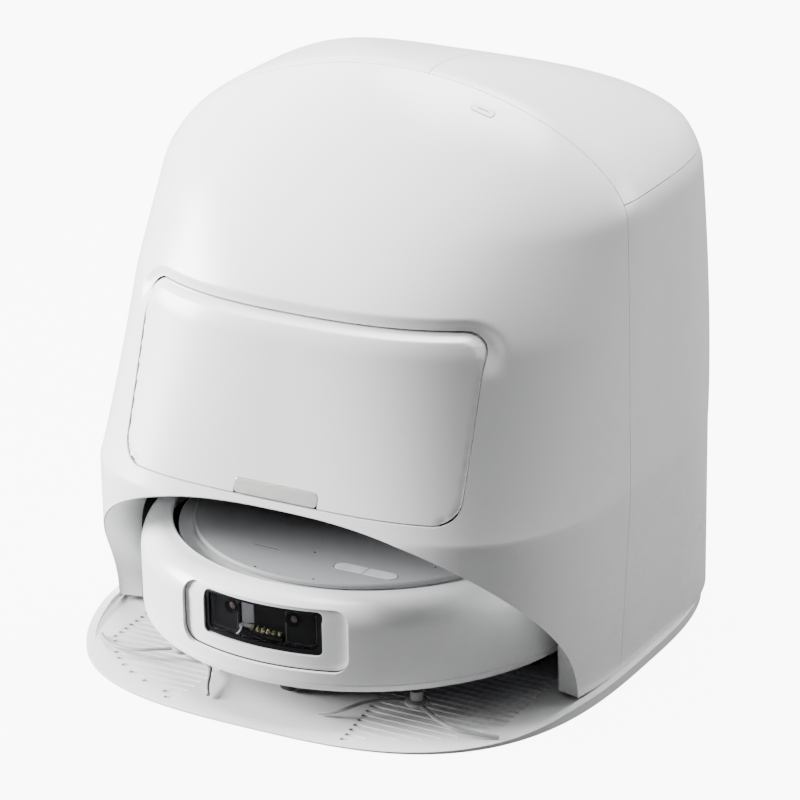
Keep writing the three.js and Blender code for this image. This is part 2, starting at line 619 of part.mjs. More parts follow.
function rollerBrush() {
  let roller = bar(-80, 80, 0, 27, 12, 28);
  for (let i = 0; i < 5; i += 1) {
    const a = (i / 5) * Math.PI * 2;
    const g = new THREE.BoxGeometry(158, 2.2, 8);
    g.translate(0, 0, 15);
    g.rotateX(a);
    g.translate(0, 0, 27);
    roller = roller.add(solidOf(g));
  }
  return roller.add(bar(-83.5, 83.5, 0, 27, 3, 16));
}
add('main_roller', rollerBrush(), DARK);
function rollerGuard() {
  let guard = slab(roundedRect(-85.4, 85.4, -26.4, 26.4, 3, 2), 8.5, 13.4);
  guard = guard.subtract(box(-81.5, 81.5, -21.5, 21.5, 0, 40));
  [-44, 0, 44].forEach((x) => {
    guard = guard.add(box(x - 1.2, x + 1.2, -24, 24, 5.4, 6.9))
      .add(box(x - 1.2, x + 1.2, -26, -22.5, 5.4, 12)).add(box(x - 1.2, x + 1.2, 22.5, 26, 5.4, 12));
  });
  return guard;
}
add('roller_guard', rollerGuard(), GREY);

function casterFork() {
  let fork = disc(0, CASTER_Y, 23, 26, 15, 28).add(disc(0, CASTER_Y, 25, 36, 5, 16));
  [-1, 1].forEach((side) => {
    fork = fork.add(box(side * 7.4 - 1.1, side * 7.4 + 1.1, CASTER_Y - 6, CASTER_Y + 6, 10.5, 24));
  });
  return fork;
}
add('caster_fork', casterFork().add(bar(-8, 8, CASTER_Y, 13.6, 1.5, 12)), DARK);
add('caster_wheel', bar(-5, 5, CASTER_Y, 13.6, 8.4, 28).subtract(bar(-9, 9, CASTER_Y, 13.6, 1.9, 12)), RUBBER);

// Inside the robot.
add('battery_pack', box(-70, 70, 34, 72, 36, 66), GREEN);
add('dust_bin', slab(roundedRect(-78, 78, 78, 148, 18, 4), 40, 86), GREY);
add('robot_fan_motor', disc(0, -74, 24, 60, 27, 32), DARK);
add('main_board', box(-60, 60, -60, 30, 72, 73.6).add(box(-25, 25, -40, 0, 73, 80)), GREEN);

export default group;
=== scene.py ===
import math
import bmesh
import bpy
from mathutils import Matrix, Quaternion, Vector


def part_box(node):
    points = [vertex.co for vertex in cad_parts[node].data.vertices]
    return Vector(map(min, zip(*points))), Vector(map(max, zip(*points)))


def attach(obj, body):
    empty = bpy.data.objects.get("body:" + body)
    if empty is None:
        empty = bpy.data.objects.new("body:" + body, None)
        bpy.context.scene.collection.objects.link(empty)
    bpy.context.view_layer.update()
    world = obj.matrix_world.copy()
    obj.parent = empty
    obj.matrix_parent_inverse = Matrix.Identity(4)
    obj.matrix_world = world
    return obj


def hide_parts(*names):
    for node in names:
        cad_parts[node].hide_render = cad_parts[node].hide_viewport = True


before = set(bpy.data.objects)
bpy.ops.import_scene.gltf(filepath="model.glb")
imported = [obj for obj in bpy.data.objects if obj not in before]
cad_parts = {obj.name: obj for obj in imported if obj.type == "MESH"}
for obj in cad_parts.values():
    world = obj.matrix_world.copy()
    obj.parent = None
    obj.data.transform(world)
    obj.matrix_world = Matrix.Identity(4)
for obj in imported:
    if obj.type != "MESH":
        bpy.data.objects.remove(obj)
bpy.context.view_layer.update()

# The viewpoint, the floor and the lights of a plain product studio. A long lens looks down over the
# right-hand front corner. A strong softbox stands low at the left and a second hangs over the back.
# A faint third one at the right rear and the walls give the fill. Floor and walls look near white.
LENS = 180.7
CAMERA_PLACE = Vector((1.3832, -2.4477, 1.3139))
CAMERA_AZIMUTH = math.radians(29.36)
CAMERA_ELEVATION = math.radians(22.01)
CAMERA_ROLL = math.radians(-0.96)
FLOOR_GLOW = 9
WALL_FILL = 0.08
WALL_SEEN = 10

camera_data = bpy.data.cameras.new("camera")
camera_data.sensor_width = 36
camera_data.lens = LENS
camera_data.clip_end = 50
camera = bpy.data.objects.new("camera", camera_data)
bpy.context.scene.collection.objects.link(camera)
away = Vector((
    math.sin(CAMERA_AZIMUTH) * math.cos(CAMERA_ELEVATION),
    -math.cos(CAMERA_AZIMUTH) * math.cos(CAMERA_ELEVATION),
    math.sin(CAMERA_ELEVATION),
))
camera.location = CAMERA_PLACE
turn = away.to_track_quat("Z", "Y") @ Quaternion((0, 0, 1), CAMERA_ROLL)
camera.rotation_euler = turn.to_euler()
bpy.context.scene.camera = camera

bm = bmesh.new()
bmesh.ops.create_grid(bm, x_segments=1, y_segments=1, size=9)
floor_mesh = bpy.data.meshes.new("studio_floor")
bm.to_mesh(floor_mesh)
bm.free()
studio_floor = bpy.data.objects.new("studio_floor", floor_mesh)
bpy.context.scene.collection.objects.link(studio_floor)
floor_paint = bpy.data.materials.new("studio_floor_paint")
floor_paint.use_nodes = True
nodes, links = floor_paint.node_tree.nodes, floor_paint.node_tree.links
paint = nodes["Principled BSDF"]
paint.inputs["Base Color"].default_value = (0.12, 0.12, 0.12, 1)
paint.inputs["Roughness"].default_value = 0.9
paint.inputs["Emission Color"].default_value = (1, 1, 1, 1)
ray = nodes.new("ShaderNodeLightPath")
glow = nodes.new("ShaderNodeMath")
glow.operation = "MULTIPLY"
glow.inputs[1].default_value = FLOOR_GLOW
links.new(ray.outputs["Is Camera Ray"], glow.inputs[0])
links.new(glow.outputs["Value"], paint.inputs["Emission Strength"])
floor_mesh.materials.append(floor_paint)

studio_walls = bpy.data.worlds.new("studio_walls")
studio_walls.use_nodes = True
nodes, links = studio_walls.node_tree.nodes, studio_walls.node_tree.links
ray = nodes.new("ShaderNodeLightPath")
level = nodes.new("ShaderNodeMapRange")
level.inputs["To Min"].default_value = WALL_FILL
level.inputs["To Max"].default_value = WALL_SEEN
links.new(ray.outputs["Is Camera Ray"], level.inputs["Value"])
links.new(level.outputs["Result"], nodes["Background"].inputs["Strength"])
nodes["Background"].inputs["Color"].default_value = (1, 1, 1, 1)
bpy.context.scene.world = studio_walls


def softbox(name, place, aim, width, height, watts):
    light = bpy.data.lights.new(name, "AREA")
    light.shape = "RECTANGLE"
    light.size = width
    light.size_y = height
    light.energy = watts
    lamp = bpy.data.objects.new(name, light)
    lamp.location = place
    lamp.rotation_euler = (Vector(place) - Vector(aim)).to_track_quat("Z", "Y").to_euler()
    bpy.context.scene.collection.objects.link(lamp)


softbox("key_softbox", (-3.0, -1.1, 1.1), (0, 0, 0.2), 1.6, 1.6, 640)
softbox("top_softbox", (-0.3, 0.7, 3.0), (0, 0, 0.2), 1.8, 1.8, 340)
softbox("rim_softbox", (2.3, 2.0, 1.2), (0, 0, 0.2), 1.2, 1.2, 60)


# The base tray that everything stands on: one white moulding with a thin front lip, a ramp, and
# grooved tracks for the wheels. Its sides rise to a rim that carries the shells. The four feet are
# rubber discs stuck to its underside.
AXIS_Y = (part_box("robot_chassis")[0].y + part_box("robot_chassis")[1].y) / 2


def at(x, y, z):
    """A place in millimetres from the docked robot's upright axis, in the frame's metres."""
    return Vector((x / 1000, AXIS_Y + y / 1000, z / 1000))


def object_of(name, bm):
    mesh = bpy.data.meshes.new(name)
    bm.to_mesh(mesh)
    bm.free()
    made = bpy.data.objects.new(name, mesh)
    bpy.context.scene.collection.objects.link(made)
    return made


def smoothed(made, corner=32):
    made.data.shade_smooth()
    made.data.set_sharp_from_angle(angle=math.radians(corner))
    return made


def settled(made):
    """Turns the modifiers into mesh."""
    graph = bpy.context.evaluated_depsgraph_get()
    mesh = bpy.data.meshes.new_from_object(made.evaluated_get(graph))
    made.modifiers.clear()
    made.data = mesh
    return made


def combined(made, operation, tool):
    """Unites, cuts or crops a piece with a tool piece, which is used up."""
    modifier = made.modifiers.new("combined", "BOOLEAN")
    modifier.operation = operation
    modifier.solver = "EXACT"
    modifier.object = tool
    settled(made)
    bpy.data.objects.remove(tool)
    return made


def edge_rounded(made, width, segments=2, corner=32):
    """Gives the piece's real corners their small moulded radius, in millimetres."""
    modifier = made.modifiers.new("edge_rounded", "BEVEL")
    modifier.width = width / 1000
    modifier.segments = segments
    modifier.limit_method = "ANGLE"
    modifier.angle_limit = math.radians(corner)
    modifier.use_clamp_overlap = True
    settled(made)
    return smoothed(made, 40)


def eased(outline, radius, steps=4, closed=True):
    """Replaces each corner of a flat outline by a small curve."""
    points = [Vector(point) for point in outline]
    count = len(points)
    result = []
    for i, point in enumerate(points):
        if not closed and i in (0, count - 1):
            result.append(point)
            continue
        before, after = points[i - 1], points[(i + 1) % count]
        reach = min(radius, (before - point).length * 0.48, (after - point).length * 0.48)
        start = point + (before - point).normalized() * reach
        end = point + (after - point).normalized() * reach
        for k in range(steps + 1):
            t = k / steps
            result.append(start * (1 - t) ** 2 + point * 2 * t * (1 - t) + end * t ** 2)
    return result


def rectangle(x0, x1, y0, y1, radius, steps=6):
    """A rounded rectangle as an outline, with true quarter circles."""
    centres = [(x1 - radius, y0 + radius), (x1 - radius, y1 - radius),
               (x0 + radius, y1 - radius), (x0 + radius, y0 + radius)]
    return [(cx + radius * math.cos((quarter - 1 + i / steps) * math.pi / 2),
             cy + radius * math.sin((quarter - 1 + i / steps) * math.pi / 2))
            for quarter, (cx, cy) in enumerate(centres) for i in range(steps + 1)]


def pushed(name, outline, travel, edge=0.0, segments=2):
    """A flat outline of places pushed along a travel, with its two rims rounded by edge millimetres."""
    bm = bmesh.new()
    face = bm.faces.new([bm.verts.new(point) for point in outline])
    grown = bmesh.ops.extrude_face_region(bm, geom=[face])["geom"]
    moved = [g for g in grown if isinstance(g, bmesh.types.BMVert)]
    bmesh.ops.translate(bm, vec=Vector(travel), verts=moved)
    bmesh.ops.recalc_face_normals(bm, faces=bm.faces)
    if edge:
        caps = sorted(bm.faces, key=lambda f: len(f.verts))[-2:]
        rims = list({e for cap in caps for e in cap.edges})
        bmesh.ops.bevel(bm, geom=rims, offset=edge / 1000, affect="EDGES", segments=segments,
                        profile=0.5, material=-1, clamp_overlap=True)
    return object_of(name, bm)


def slab(name, outline, z0, z1, edge=0.0):
    """A plan outline in millimetres pulled up from z0 to z1."""
    return pushed(name, [at(x, y, z0) for x, y in outline], (0, 0, (z1 - z0) / 1000), edge)


def front_cut(name, outline, y0, y1, edge=0.0):
    """An outline seen from the front, as (x, z), carried from y0 to y1."""
    return pushed(name, [at(x, y0, z) for x, z in outline], (0, (y1 - y0) / 1000, 0), edge)


def side_cut(name, outline, x0, x1, edge=0.0):
    """An outline seen from the side, as (y, z), carried from x0 to x1."""
    return pushed(name, [at(x0, y, z) for y, z in outline], ((x1 - x0) / 1000, 0, 0), edge)


def superellipse(half, middle, front, back, power, count=180):
    outline = []
    for i in range(count):
        angle = i / count * 2 * math.pi
        across, along = math.cos(angle), math.sin(angle)
        depth = front if along < 0 else back
        radius = (abs(across / half) ** power + abs(along / depth) ** power) ** (-1 / power)
        outline.append((radius * across, middle + radius * along))
    return outline


def joined(name, pieces):
    """Puts several finished meshes together as one piece."""
    bm = bmesh.new()
    for piece in pieces:
        bm.from_mesh(piece.data)
        bpy.data.objects.remove(piece)
    return smoothed(object_of(name, bm), 40)


def moulded_grain_group():
    """Fine tool grain, with a slow drift of tone and gloss as in any large moulding."""
    group = bpy.data.node_groups.new("moulded_grain", "ShaderNodeTree")
    face = group.interface
    face.new_socket(name="Colour", in_out="INPUT", socket_type="NodeSocketColor")
    for name in ("Roughness", "Grain Scale", "Grain Depth", "Drift"):
        face.new_socket(name=name, in_out="INPUT", socket_type="NodeSocketFloat")
    face.new_socket(name="Colour", in_out="OUTPUT", socket_type="NodeSocketColor")
    face.new_socket(name="Roughness", in_out="OUTPUT", socket_type="NodeSocketFloat")
    face.new_socket(name="Normal", in_out="OUTPUT", socket_type="NodeSocketVector")
    nodes, links = group.nodes, group.links
    given = nodes.new("NodeGroupInput")
    out = nodes.new("NodeGroupOutput")
    place = nodes.new("ShaderNodeTexCoord")
    grain = nodes.new("ShaderNodeTexNoise")
    grain.inputs["Detail"].default_value = 3
    links.new(place.outputs["Object"], grain.inputs["Vector"])
    links.new(given.outputs["Grain Scale"], grain.inputs["Scale"])
    drift = nodes.new("ShaderNodeTexNoise")
    drift.inputs["Scale"].default_value = 11
    drift.inputs["Detail"].default_value = 4
    links.new(place.outputs["Object"], drift.inputs["Vector"])
    tone = nodes.new("ShaderNodeMapRange")
    tone.inputs["From Min"].default_value = 0.3
    tone.inputs["From Max"].default_value = 0.7
    tone.inputs["To Max"].default_value = 1
    links.new(drift.outputs["Fac"], tone.inputs["Value"])
    links.new(given.outputs["Drift"], tone.inputs["To Min"])
    shade = nodes.new("ShaderNodeVectorMath")
    shade.operation = "SCALE"
    links.new(given.outputs["Colour"], shade.inputs[0])
    links.new(tone.outputs["Result"], shade.inputs["Scale"])
    links.new(shade.outputs["Vector"], out.inputs["Colour"])
    both = nodes.new("ShaderNodeMath")
    both.operation = "ADD"
    links.new(grain.outputs["Fac"], both.inputs[0])
    links.new(drift.outputs["Fac"], both.inputs[1])
    gloss = nodes.new("ShaderNodeMath")
    gloss.operation = "MULTIPLY_ADD"
    gloss.inputs[1].default_value = 0.12
    links.new(both.outputs["Value"], gloss.inputs[0])
    links.new(given.outputs["Roughness"], gloss.inputs[2])
    links.new(gloss.outputs["Value"], out.inputs["Roughness"])
    bump = nodes.new("ShaderNodeBump")
    bump.inputs["Distance"].default_value = 0.0002
    links.new(grain.outputs["Fac"], bump.inputs["Height"])
    links.new(given.outputs["Grain Depth"], bump.inputs["Strength"])
    links.new(bump.outputs["Normal"], out.inputs["Normal"])
    return group


moulded_grain = moulded_grain_group()


def moulded(name, colour, roughness, grain_scale=900, grain_depth=0.12, drift=0.965):
    """A moulded plastic or rubber; its roughness is what is left above the grain's own share."""
    material = bpy.data.materials.new(name)
    material.use_nodes = True
    nodes, links = material.node_tree.nodes, material.node_tree.links
    grain = nodes.new("ShaderNodeGroup")
    grain.node_tree = moulded_grain
    grain.inputs["Colour"].default_value = (*colour, 1)
    grain.inputs["Roughness"].default_value = roughness - 0.12
    grain.inputs["Grain Scale"].default_value = grain_scale
    grain.inputs["Grain Depth"].default_value = grain_depth
    grain.inputs["Drift"].default_value = drift
    shader = nodes["Principled BSDF"]
    links.new(grain.outputs["Colour"], shader.inputs["Base Color"])
    links.new(grain.outputs["Roughness"], shader.inputs["Roughness"])
    links.new(grain.outputs["Normal"], shader.inputs["Normal"])
    return material


def placed(piece, material, body, slot, *nodes):
    """Finishes a piece: its material, what it rides on, and the CAD nodes it stands for. Its slot argument is
    not used.
    """
    if not piece.modifiers:
        shading = piece.modifiers.new("even_shading", "WEIGHTED_NORMAL")
        shading.keep_sharp = True
        settled(piece)
    piece.data.materials.clear()
    piece.data.materials.append(material)
    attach(piece, body)
    if nodes:
        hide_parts(*nodes)
    return piece


white_gloss = moulded("white_gloss", (0.82, 0.825, 0.83), 0.27, 1400, 0.05, 0.985)
white_satin = moulded("white_satin", (0.78, 0.785, 0.79), 0.42, 1000, 0.15, 0.97)
black_rubber = moulded("black_rubber", (0.022, 0.022, 0.023), 0.75, 700, 0.5, 0.8)

TRAY_BOTTOM_Z = 1.2
TRAY_TOP_Z = 8.9
TRAY_FLOOR_Z = 4.6
TRAY_LIP_Z = 2.4
TRAY_LIP_Y = -190
TRAY_HALF = 211.5
TRAY_RIM = 6
RAMP_TOP_Y = -130
ABOVE_RIM = [(-300, TRAY_LIP_Z), (TRAY_LIP_Y, TRAY_LIP_Z), (-120, 4.7), (-62, TRAY_TOP_Z),
             (-62, 40), (-300, 40)]
ABOVE_FLOOR = [(-300, TRAY_LIP_Z), (TRAY_LIP_Y, TRAY_LIP_Z), (RAMP_TOP_Y, TRAY_FLOOR_Z),
               (400, TRAY_FLOOR_Z), (400, 40), (-300, 40)]
RIB_PITCH = 7.6
RIB_COUNT = 21
GROOVE_DEPTH = 1.3
GROOVE_HALF = 1.8

tray = slab("tray_moulding", superellipse(TRAY_HALF, 40, 230, 218, 3), TRAY_BOTTOM_Z, TRAY_TOP_Z)
combined(tray, "DIFFERENCE", side_cut("rim_tool", ABOVE_RIM, -300, 300))
pocket = slab("pocket_tool", superellipse(TRAY_HALF - TRAY_RIM, 40, 230 - TRAY_RIM, 218 - TRAY_RIM, 3), 0, 20)
combined(pocket, "INTERSECT", side_cut("pocket_zone", ABOVE_FLOOR, -300, 300))
combined(tray, "DIFFERENCE", pocket)
track_edge = superellipse(TRAY_HALF - 20, 40, 213, 200, 3, 720)
grooves = []
for side in (-1, 1):
    for i in range(RIB_COUNT):
        y = TRAY_LIP_Y + 14 + i * RIB_PITCH
        slope = (TRAY_FLOOR_Z - TRAY_LIP_Z) / (RAMP_TOP_Y - TRAY_LIP_Y)
        floor_z = min(TRAY_FLOOR_Z, TRAY_LIP_Z + (y - TRAY_LIP_Y) * slope)
        outer = max([x for x, edge_y in track_edge if abs(edge_y - y) < 2] + [80])
        inner = 62 + 8 * min(1, max(0, (-100 - y) / 70))
        x0, x1 = sorted((side * inner, side * min(outer, 168)))
        grooves.append(slab("groove", rectangle(x0, x1, y - GROOVE_HALF, y + GROOVE_HALF,
                                                GROOVE_HALF - 0.02, 3), floor_z - GROOVE_DEPTH, 12))
combined(tray, "DIFFERENCE", joined("groove_tool", grooves))
edge_rounded(tray, 0.4)
placed(tray, white_satin, "station", "gloss_white_plastic", "base_tray")

for word in ("front_left", "front_right", "rear_left", "rear_right"):
    low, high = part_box("rubber_foot_" + word)
    middle = (low + high) / 2
    radius = (high.x - low.x) / 2
    bm = bmesh.new()
    bmesh.ops.create_cone(bm, cap_ends=True, segments=48, radius1=radius, radius2=radius,
                          depth=high.z - low.z)
    bmesh.ops.translate(bm, vec=middle, verts=bm.verts)
    rims = [e for e in bm.edges if abs(e.verts[0].co.z - e.verts[1].co.z) < 1e-6]
    bmesh.ops.bevel(bm, geom=rims, offset=0.00025, affect="EDGES", segments=2, profile=0.5, material=-1)
    foot = smoothed(object_of("foot_pad_" + word, bm))
    placed(foot, black_rubber, "station", "black_rubber", "rubber_foot_" + word)


# The tall front cover, injection moulded in glossy white. The front and rear shells, the tank lids and
# the dust door share one continuous skin: a rounded rectangle in plan that leans in above the belly
# and closes in a crown. The cover has the garage arch, and a scoop above the dust door.
TOP_Z = 441
BELLY_Z = 147
MIDDLE_Y = 81.8
MIDDLE_Y_TOP = 52.5
HALF_WIDTH = 207
FRONT_DEPTH = 228.8
BACK_Y = 258
SHELL_LOW_Z = 9.2
WALL = 3
SEAM_GAP = 0.3
TANK_SEAM_Z = 360
TANK_SEAM_Y = 42
COVER_SEAM_Y = 5
DOOR_HALF = 140
DOOR_LOW_Z = 163
DOOR_HIGH_Z = 288
DOOR_CORNER = 16
SCOOP_DEPTH = 5
SCOOP_REACH = 10.5
ARCH_HALF = 199
ARCH_TOP_Z = 157


def crown(z, start, power, top):
    fraction = min(1, max(0, (z - start) / (top - start)))
    return (1 - fraction ** power) ** (1 / power)


def skin_point(z, angle, inset=0.0):
    """Where the skin's outline at a height meets the ray at an angle, in millimetres."""
    top = TOP_Z - inset
    rise = max(0, z - BELLY_Z)
    lift = min(1, rise / (TOP_Z - BELLY_Z))
    middle = MIDDLE_Y + (MIDDLE_Y_TOP - MIDDLE_Y) * lift ** 2
    width = (HALF_WIDTH - inset - 0.058 * rise) * crown(z, 346, 1.88, top)
    front = (FRONT_DEPTH - inset - 0.282 * rise) * crown(z, 277, 1.5, top)
    back = (BACK_Y - MIDDLE_Y - inset) * crown(z, 374, 1.5, top)
    if math.sin(angle) < 0:
        depth, power = front, 3.65 - 1.95 * lift ** 0.82
    else:
        depth, power = back, 3 + 1.3 * lift ** 0.82
    across, along = abs(math.cos(angle) / width), abs(math.sin(angle) / depth)
    radius = (across ** power + along ** power) ** (-1 / power)
    return radius * math.cos(angle), middle + radius * math.sin(angle)


def outside_door(x, z):
    """How far a point of the front lies outside the door's rounded outline, in millimetres."""
    across = abs(x) - (DOOR_HALF - DOOR_CORNER)
    up = abs(z - (DOOR_LOW_Z + DOOR_HIGH_Z) / 2) - ((DOOR_HIGH_Z - DOOR_LOW_Z) / 2 - DOOR_CORNER)
    return math.hypot(max(across, 0), max(up, 0)) + min(max(across, up), 0) - DOOR_CORNER


def eased_step(value):
    value = min(1, max(0, value))
    return value * value * (3 - 2 * value)


def scoop(x, z):
    """How far the cover rolls inwards above the door."""
    away = outside_door(x, z)
    return SCOOP_DEPTH * eased_step((z - 262) / 22) * (1 - eased_step((away - 4.8) / SCOOP_REACH))


def skin(name, inset=0.0, low=SHELL_LOW_Z, dent=None, planes=(), around=320):
    """A stretch of the skin, above a height and on the near side of some planes."""
    top = TOP_Z - inset
    levels = [SHELL_LOW_Z + (BELLY_Z - SHELL_LOW_Z) * i / 14 for i in range(14)]
    levels += [BELLY_Z + (284 - BELLY_Z) * i / 34 for i in range(34)]
    levels += [284 + 20 * i / 24 for i in range(24)]
    levels += [304 + (top - 304) * (1 - (1 - 0.993 * i / 50) ** 1.55) for i in range(51)]
    levels = [low] + [z for z in levels if z > low + 0.6]
    bm = bmesh.new()
    bmesh.ops.create_grid(bm, x_segments=around, y_segments=len(levels) - 1, size=1)
    crown_ring = []
    for vert in bm.verts:
        row = round((vert.co.y + 1) / 2 * (len(levels) - 1))
        x, y = skin_point(levels[row], vert.co.x * math.pi - math.pi / 2, inset)
        if dent and y < MIDDLE_Y:
            y += dent(x, levels[row])
        vert.co = at(x, y, levels[row])
        if row == len(levels) - 1:
            crown_ring.append(vert)
    rim = [e for e in bm.edges if e.verts[0] in crown_ring and e.verts[1] in crown_ring]
    bmesh.ops.contextual_create(bm, geom=rim)
    bmesh.ops.remove_doubles(bm, verts=bm.verts, dist=1e-6)
    cap = [f for f in bm.faces if len(f.verts) > 4]
    bmesh.ops.poke(bm, faces=cap)
    for place, normal in planes:
        bmesh.ops.bisect_plane(bm, geom=bm.verts[:] + bm.edges[:] + bm.faces[:], dist=1e-7,
                               plane_co=place, plane_no=normal, clear_outer=True)
    bmesh.ops.recalc_face_normals(bm, faces=bm.faces)
    return object_of(name, bm)


def walled(made, wall=WALL):
    modifier = made.modifiers.new("walled", "SOLIDIFY")
    modifier.thickness = wall / 1000
    modifier.offset = -1
    modifier.use_even_offset = True
    return settled(made)


def arch_outline(grow=0.0, low=-40, count=72):
    """The garage arch seen from the front: half a superellipse on straight legs."""
    outline = [(ARCH_HALF + grow, low)]
    for i in range(count + 1):
        angle = i / count * math.pi
        across, up = abs(math.cos(angle)), math.sin(angle)
        radius = ((across / (ARCH_HALF + grow)) ** 2.65 + (up / (ARCH_TOP_Z + grow)) ** 2.65) ** (-1 / 2.65)
        outline.append((radius * math.cos(angle), radius * up))
    return outline + [(-ARCH_HALF - grow, low)]


def seam_planes(side, gap):
    """The two planes that part the front cover from what is behind it."""
    lean = Vector((0, TANK_SEAM_Z, COVER_SEAM_Y - TANK_SEAM_Y)).normalized() * side
    return [(at(0, COVER_SEAM_Y - side * gap, 0), lean)]


cover_planes = seam_planes(1, SEAM_GAP) + [(at(0, TANK_SEAM_Y - SEAM_GAP, 0), Vector((0, 1, 0)))]
front_cover = walled(skin("front_cover", dent=scoop, planes=cover_planes))
combined(front_cover, "DIFFERENCE", front_cut("arch_tool", arch_outline(), -300, 0))
opening = rectangle(-DOOR_HALF - 1.2, DOOR_HALF + 1.2, DOOR_LOW_Z - 1.2, DOOR_HIGH_Z + 5.9, 17.5)
combined(front_cover, "DIFFERENCE", front_cut("door_opening_tool", opening, -300, -40))
PILL_X = 83
PILL_Y = 27


def pill(grow):
    return rectangle(PILL_X - 9 - grow, PILL_X + 9 + grow, PILL_Y - 3.2 - grow, PILL_Y + 3.2 + grow,
                     3.15 + grow)


combined(front_cover, "DIFFERENCE", slab("button_well_tool", pill(0.45), 380, 500))
edge_rounded(front_cover, 0.5)
placed(front_cover, white_gloss, "station", "gloss_white_plastic", "front_shell")


# The status button on the crown: a satin pill in its own well, with a fine dark line across it.
PILL_PROUD = 0.4
button = slab("status_pill", pill(0), 402, 460)
combined(button, "INTERSECT", skin("pill_cap", inset=-PILL_PROUD, low=395))
edge_rounded(button, 0.35, 3)
pale_satin = moulded("pale_satin", (0.69, 0.695, 0.7), 0.45, 1100, 0.15, 0.97)
placed(button, white_satin, "station_button", "satin_pale_plastic", "status_button")
line_outline = rectangle(PILL_X - 4.6, PILL_X + 4.6, PILL_Y - 0.5, PILL_Y + 0.5, 0.49, 5)
status_line = slab("status_line", line_outline, 402, 460)
combined(status_line, "INTERSECT", skin("line_cap", inset=-PILL_PROUD - 0.06, low=395))
grey_line = moulded("grey_line", (0.1, 0.1, 0.105), 0.35, 1200, 0.05, 0.9)
placed(smoothed(status_line), grey_line, "station_button", "satin_pale_plastic")


# The rear cover, moulded like the front one and screwed to it from inside. It is open at the top
# for the tanks. A window low at the back holds the black socket of the mains lead.
INLET_X = 70
INLET_Z = 45
INLET_HALF = (17, 13)
INLET_BACK_Y = (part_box("power_inlet")[1].y - AXIS_Y) * 1000

rear_planes = seam_planes(-1, SEAM_GAP) + [(at(0, 0, TANK_SEAM_Z - SEAM_GAP), Vector((0, 0, 1)))]
rear_cover = walled(skin("rear_cover", planes=rear_planes))
inlet_window = rectangle(INLET_X - INLET_HALF[0], INLET_X + INLET_HALF[0],
                         INLET_Z - INLET_HALF[1], INLET_Z + INLET_HALF[1], 2.5)
combined(rear_cover, "DIFFERENCE", front_cut("inlet_window_tool", inlet_window, 150, 400))
edge_rounded(rear_cover, 0.45)
placed(rear_cover, white_gloss, "station", "gloss_white_plastic", "rear_shell")

black_plastic = moulded("black_plastic", (0.03, 0.03, 0.033), 0.5, 800, 0.3, 0.85)
inlet_outline = rectangle(INLET_X - 16.5, INLET_X + 16.5, INLET_Z - 12.5, INLET_Z + 12.5, 2)
inlet_body = front_cut("mains_inlet", inlet_outline, INLET_BACK_Y - 27, INLET_BACK_Y, 0.5)
SOCKET_CORNERS = ((-11, -7), (11, -7), (11, 3), (7, 7), (-7, 7), (-11, 3))
socket = eased([(INLET_X + x, INLET_Z + z) for x, z in SOCKET_CORNERS], 1.2)
combined(inlet_body, "DIFFERENCE", front_cut("socket_tool", socket, INLET_BACK_Y - 13, 300))
edge_rounded(inlet_body, 0.3)
placed(inlet_body, black_plastic, "station", "dark_plastic", "power_inlet")


def metal(name, colour, roughness, stretch=(60, 1, 1), scale=60):
    """A bare metal whose fine lines run along one axis."""
    material = bpy.data.materials.new(name)
    material.use_nodes = True
    nodes, links = material.node_tree.nodes, material.node_tree.links
    place = nodes.new("ShaderNodeTexCoord")
    lay = nodes.new("ShaderNodeMapping")
    lay.inputs["Scale"].default_value = stretch
    lines = nodes.new("ShaderNodeTexNoise")
    lines.inputs["Scale"].default_value = scale
    lines.inputs["Detail"].default_value = 5
    ramp = nodes.new("ShaderNodeMapRange")
    ramp.inputs["To Min"].default_value = roughness - 0.1
    ramp.inputs["To Max"].default_value = roughness + 0.12
    tint = nodes.new("ShaderNodeMix")
    tint.data_type = "RGBA"
    tint.inputs["A"].default_value = (*[c * 0.85 for c in colour], 1)
    tint.inputs["B"].default_value = (*colour, 1)
    bump = nodes.new("ShaderNodeBump")
    bump.inputs["Distance"].default_value = 0.00005
    bump.inputs["Strength"].default_value = 0.4
    shader = nodes["Principled BSDF"]
    shader.inputs["Metallic"].default_value = 1
    links.new(place.outputs["Object"], lay.inputs["Vector"])
    links.new(lay.outputs["Vector"], lines.inputs["Vector"])
    links.new(lines.outputs["Fac"], ramp.inputs["Value"])
    links.new(lines.outputs["Fac"], tint.inputs["Factor"])
    links.new(lines.outputs["Fac"], bump.inputs["Height"])
    links.new(tint.outputs["Result"], shader.inputs["Base Color"])
    links.new(ramp.outputs["Result"], shader.inputs["Roughness"])
    links.new(bump.outputs["Normal"], shader.inputs["Normal"])
    return material


bright_steel = metal("bright_steel", (0.7, 0.7, 0.71), 0.28)
for i, x in enumerate((-5.5, 0, 5.5)):
    blade = front_cut("inlet_blade_%d" % i, rectangle(INLET_X + x - 0.8, INLET_X + x + 0.8,
                                                      INLET_Z - 3, INLET_Z + 3, 0.4, 3),
                      INLET_BACK_Y - 14, INLET_BACK_Y - 2, 0.3)
    placed(smoothed(blade), bright_steel, "station", "bright_metal")


# The garage: a black liner, round at the back like the robot, with a white throat that leads from the
# arch to it. Two sprung metal contacts at its back charge the robot, and a grey washboard that
# lifts out lies under the mops.
GARAGE_HALF = 181
GARAGE_TOP_Z = 114
GARAGE_FRONT_Y = -45
THROAT_ROWS = 9


def skin_front_y(x, z):
    """Where the front of the skin stands at x and z."""
    low, high = -math.pi / 2, 0.0
    for _ in range(30):
        angle = (low + high) / 2
        if skin_point(z, angle)[0] < abs(x):
            low = angle
        else:
            high = angle
    return skin_point(z, low)[1]


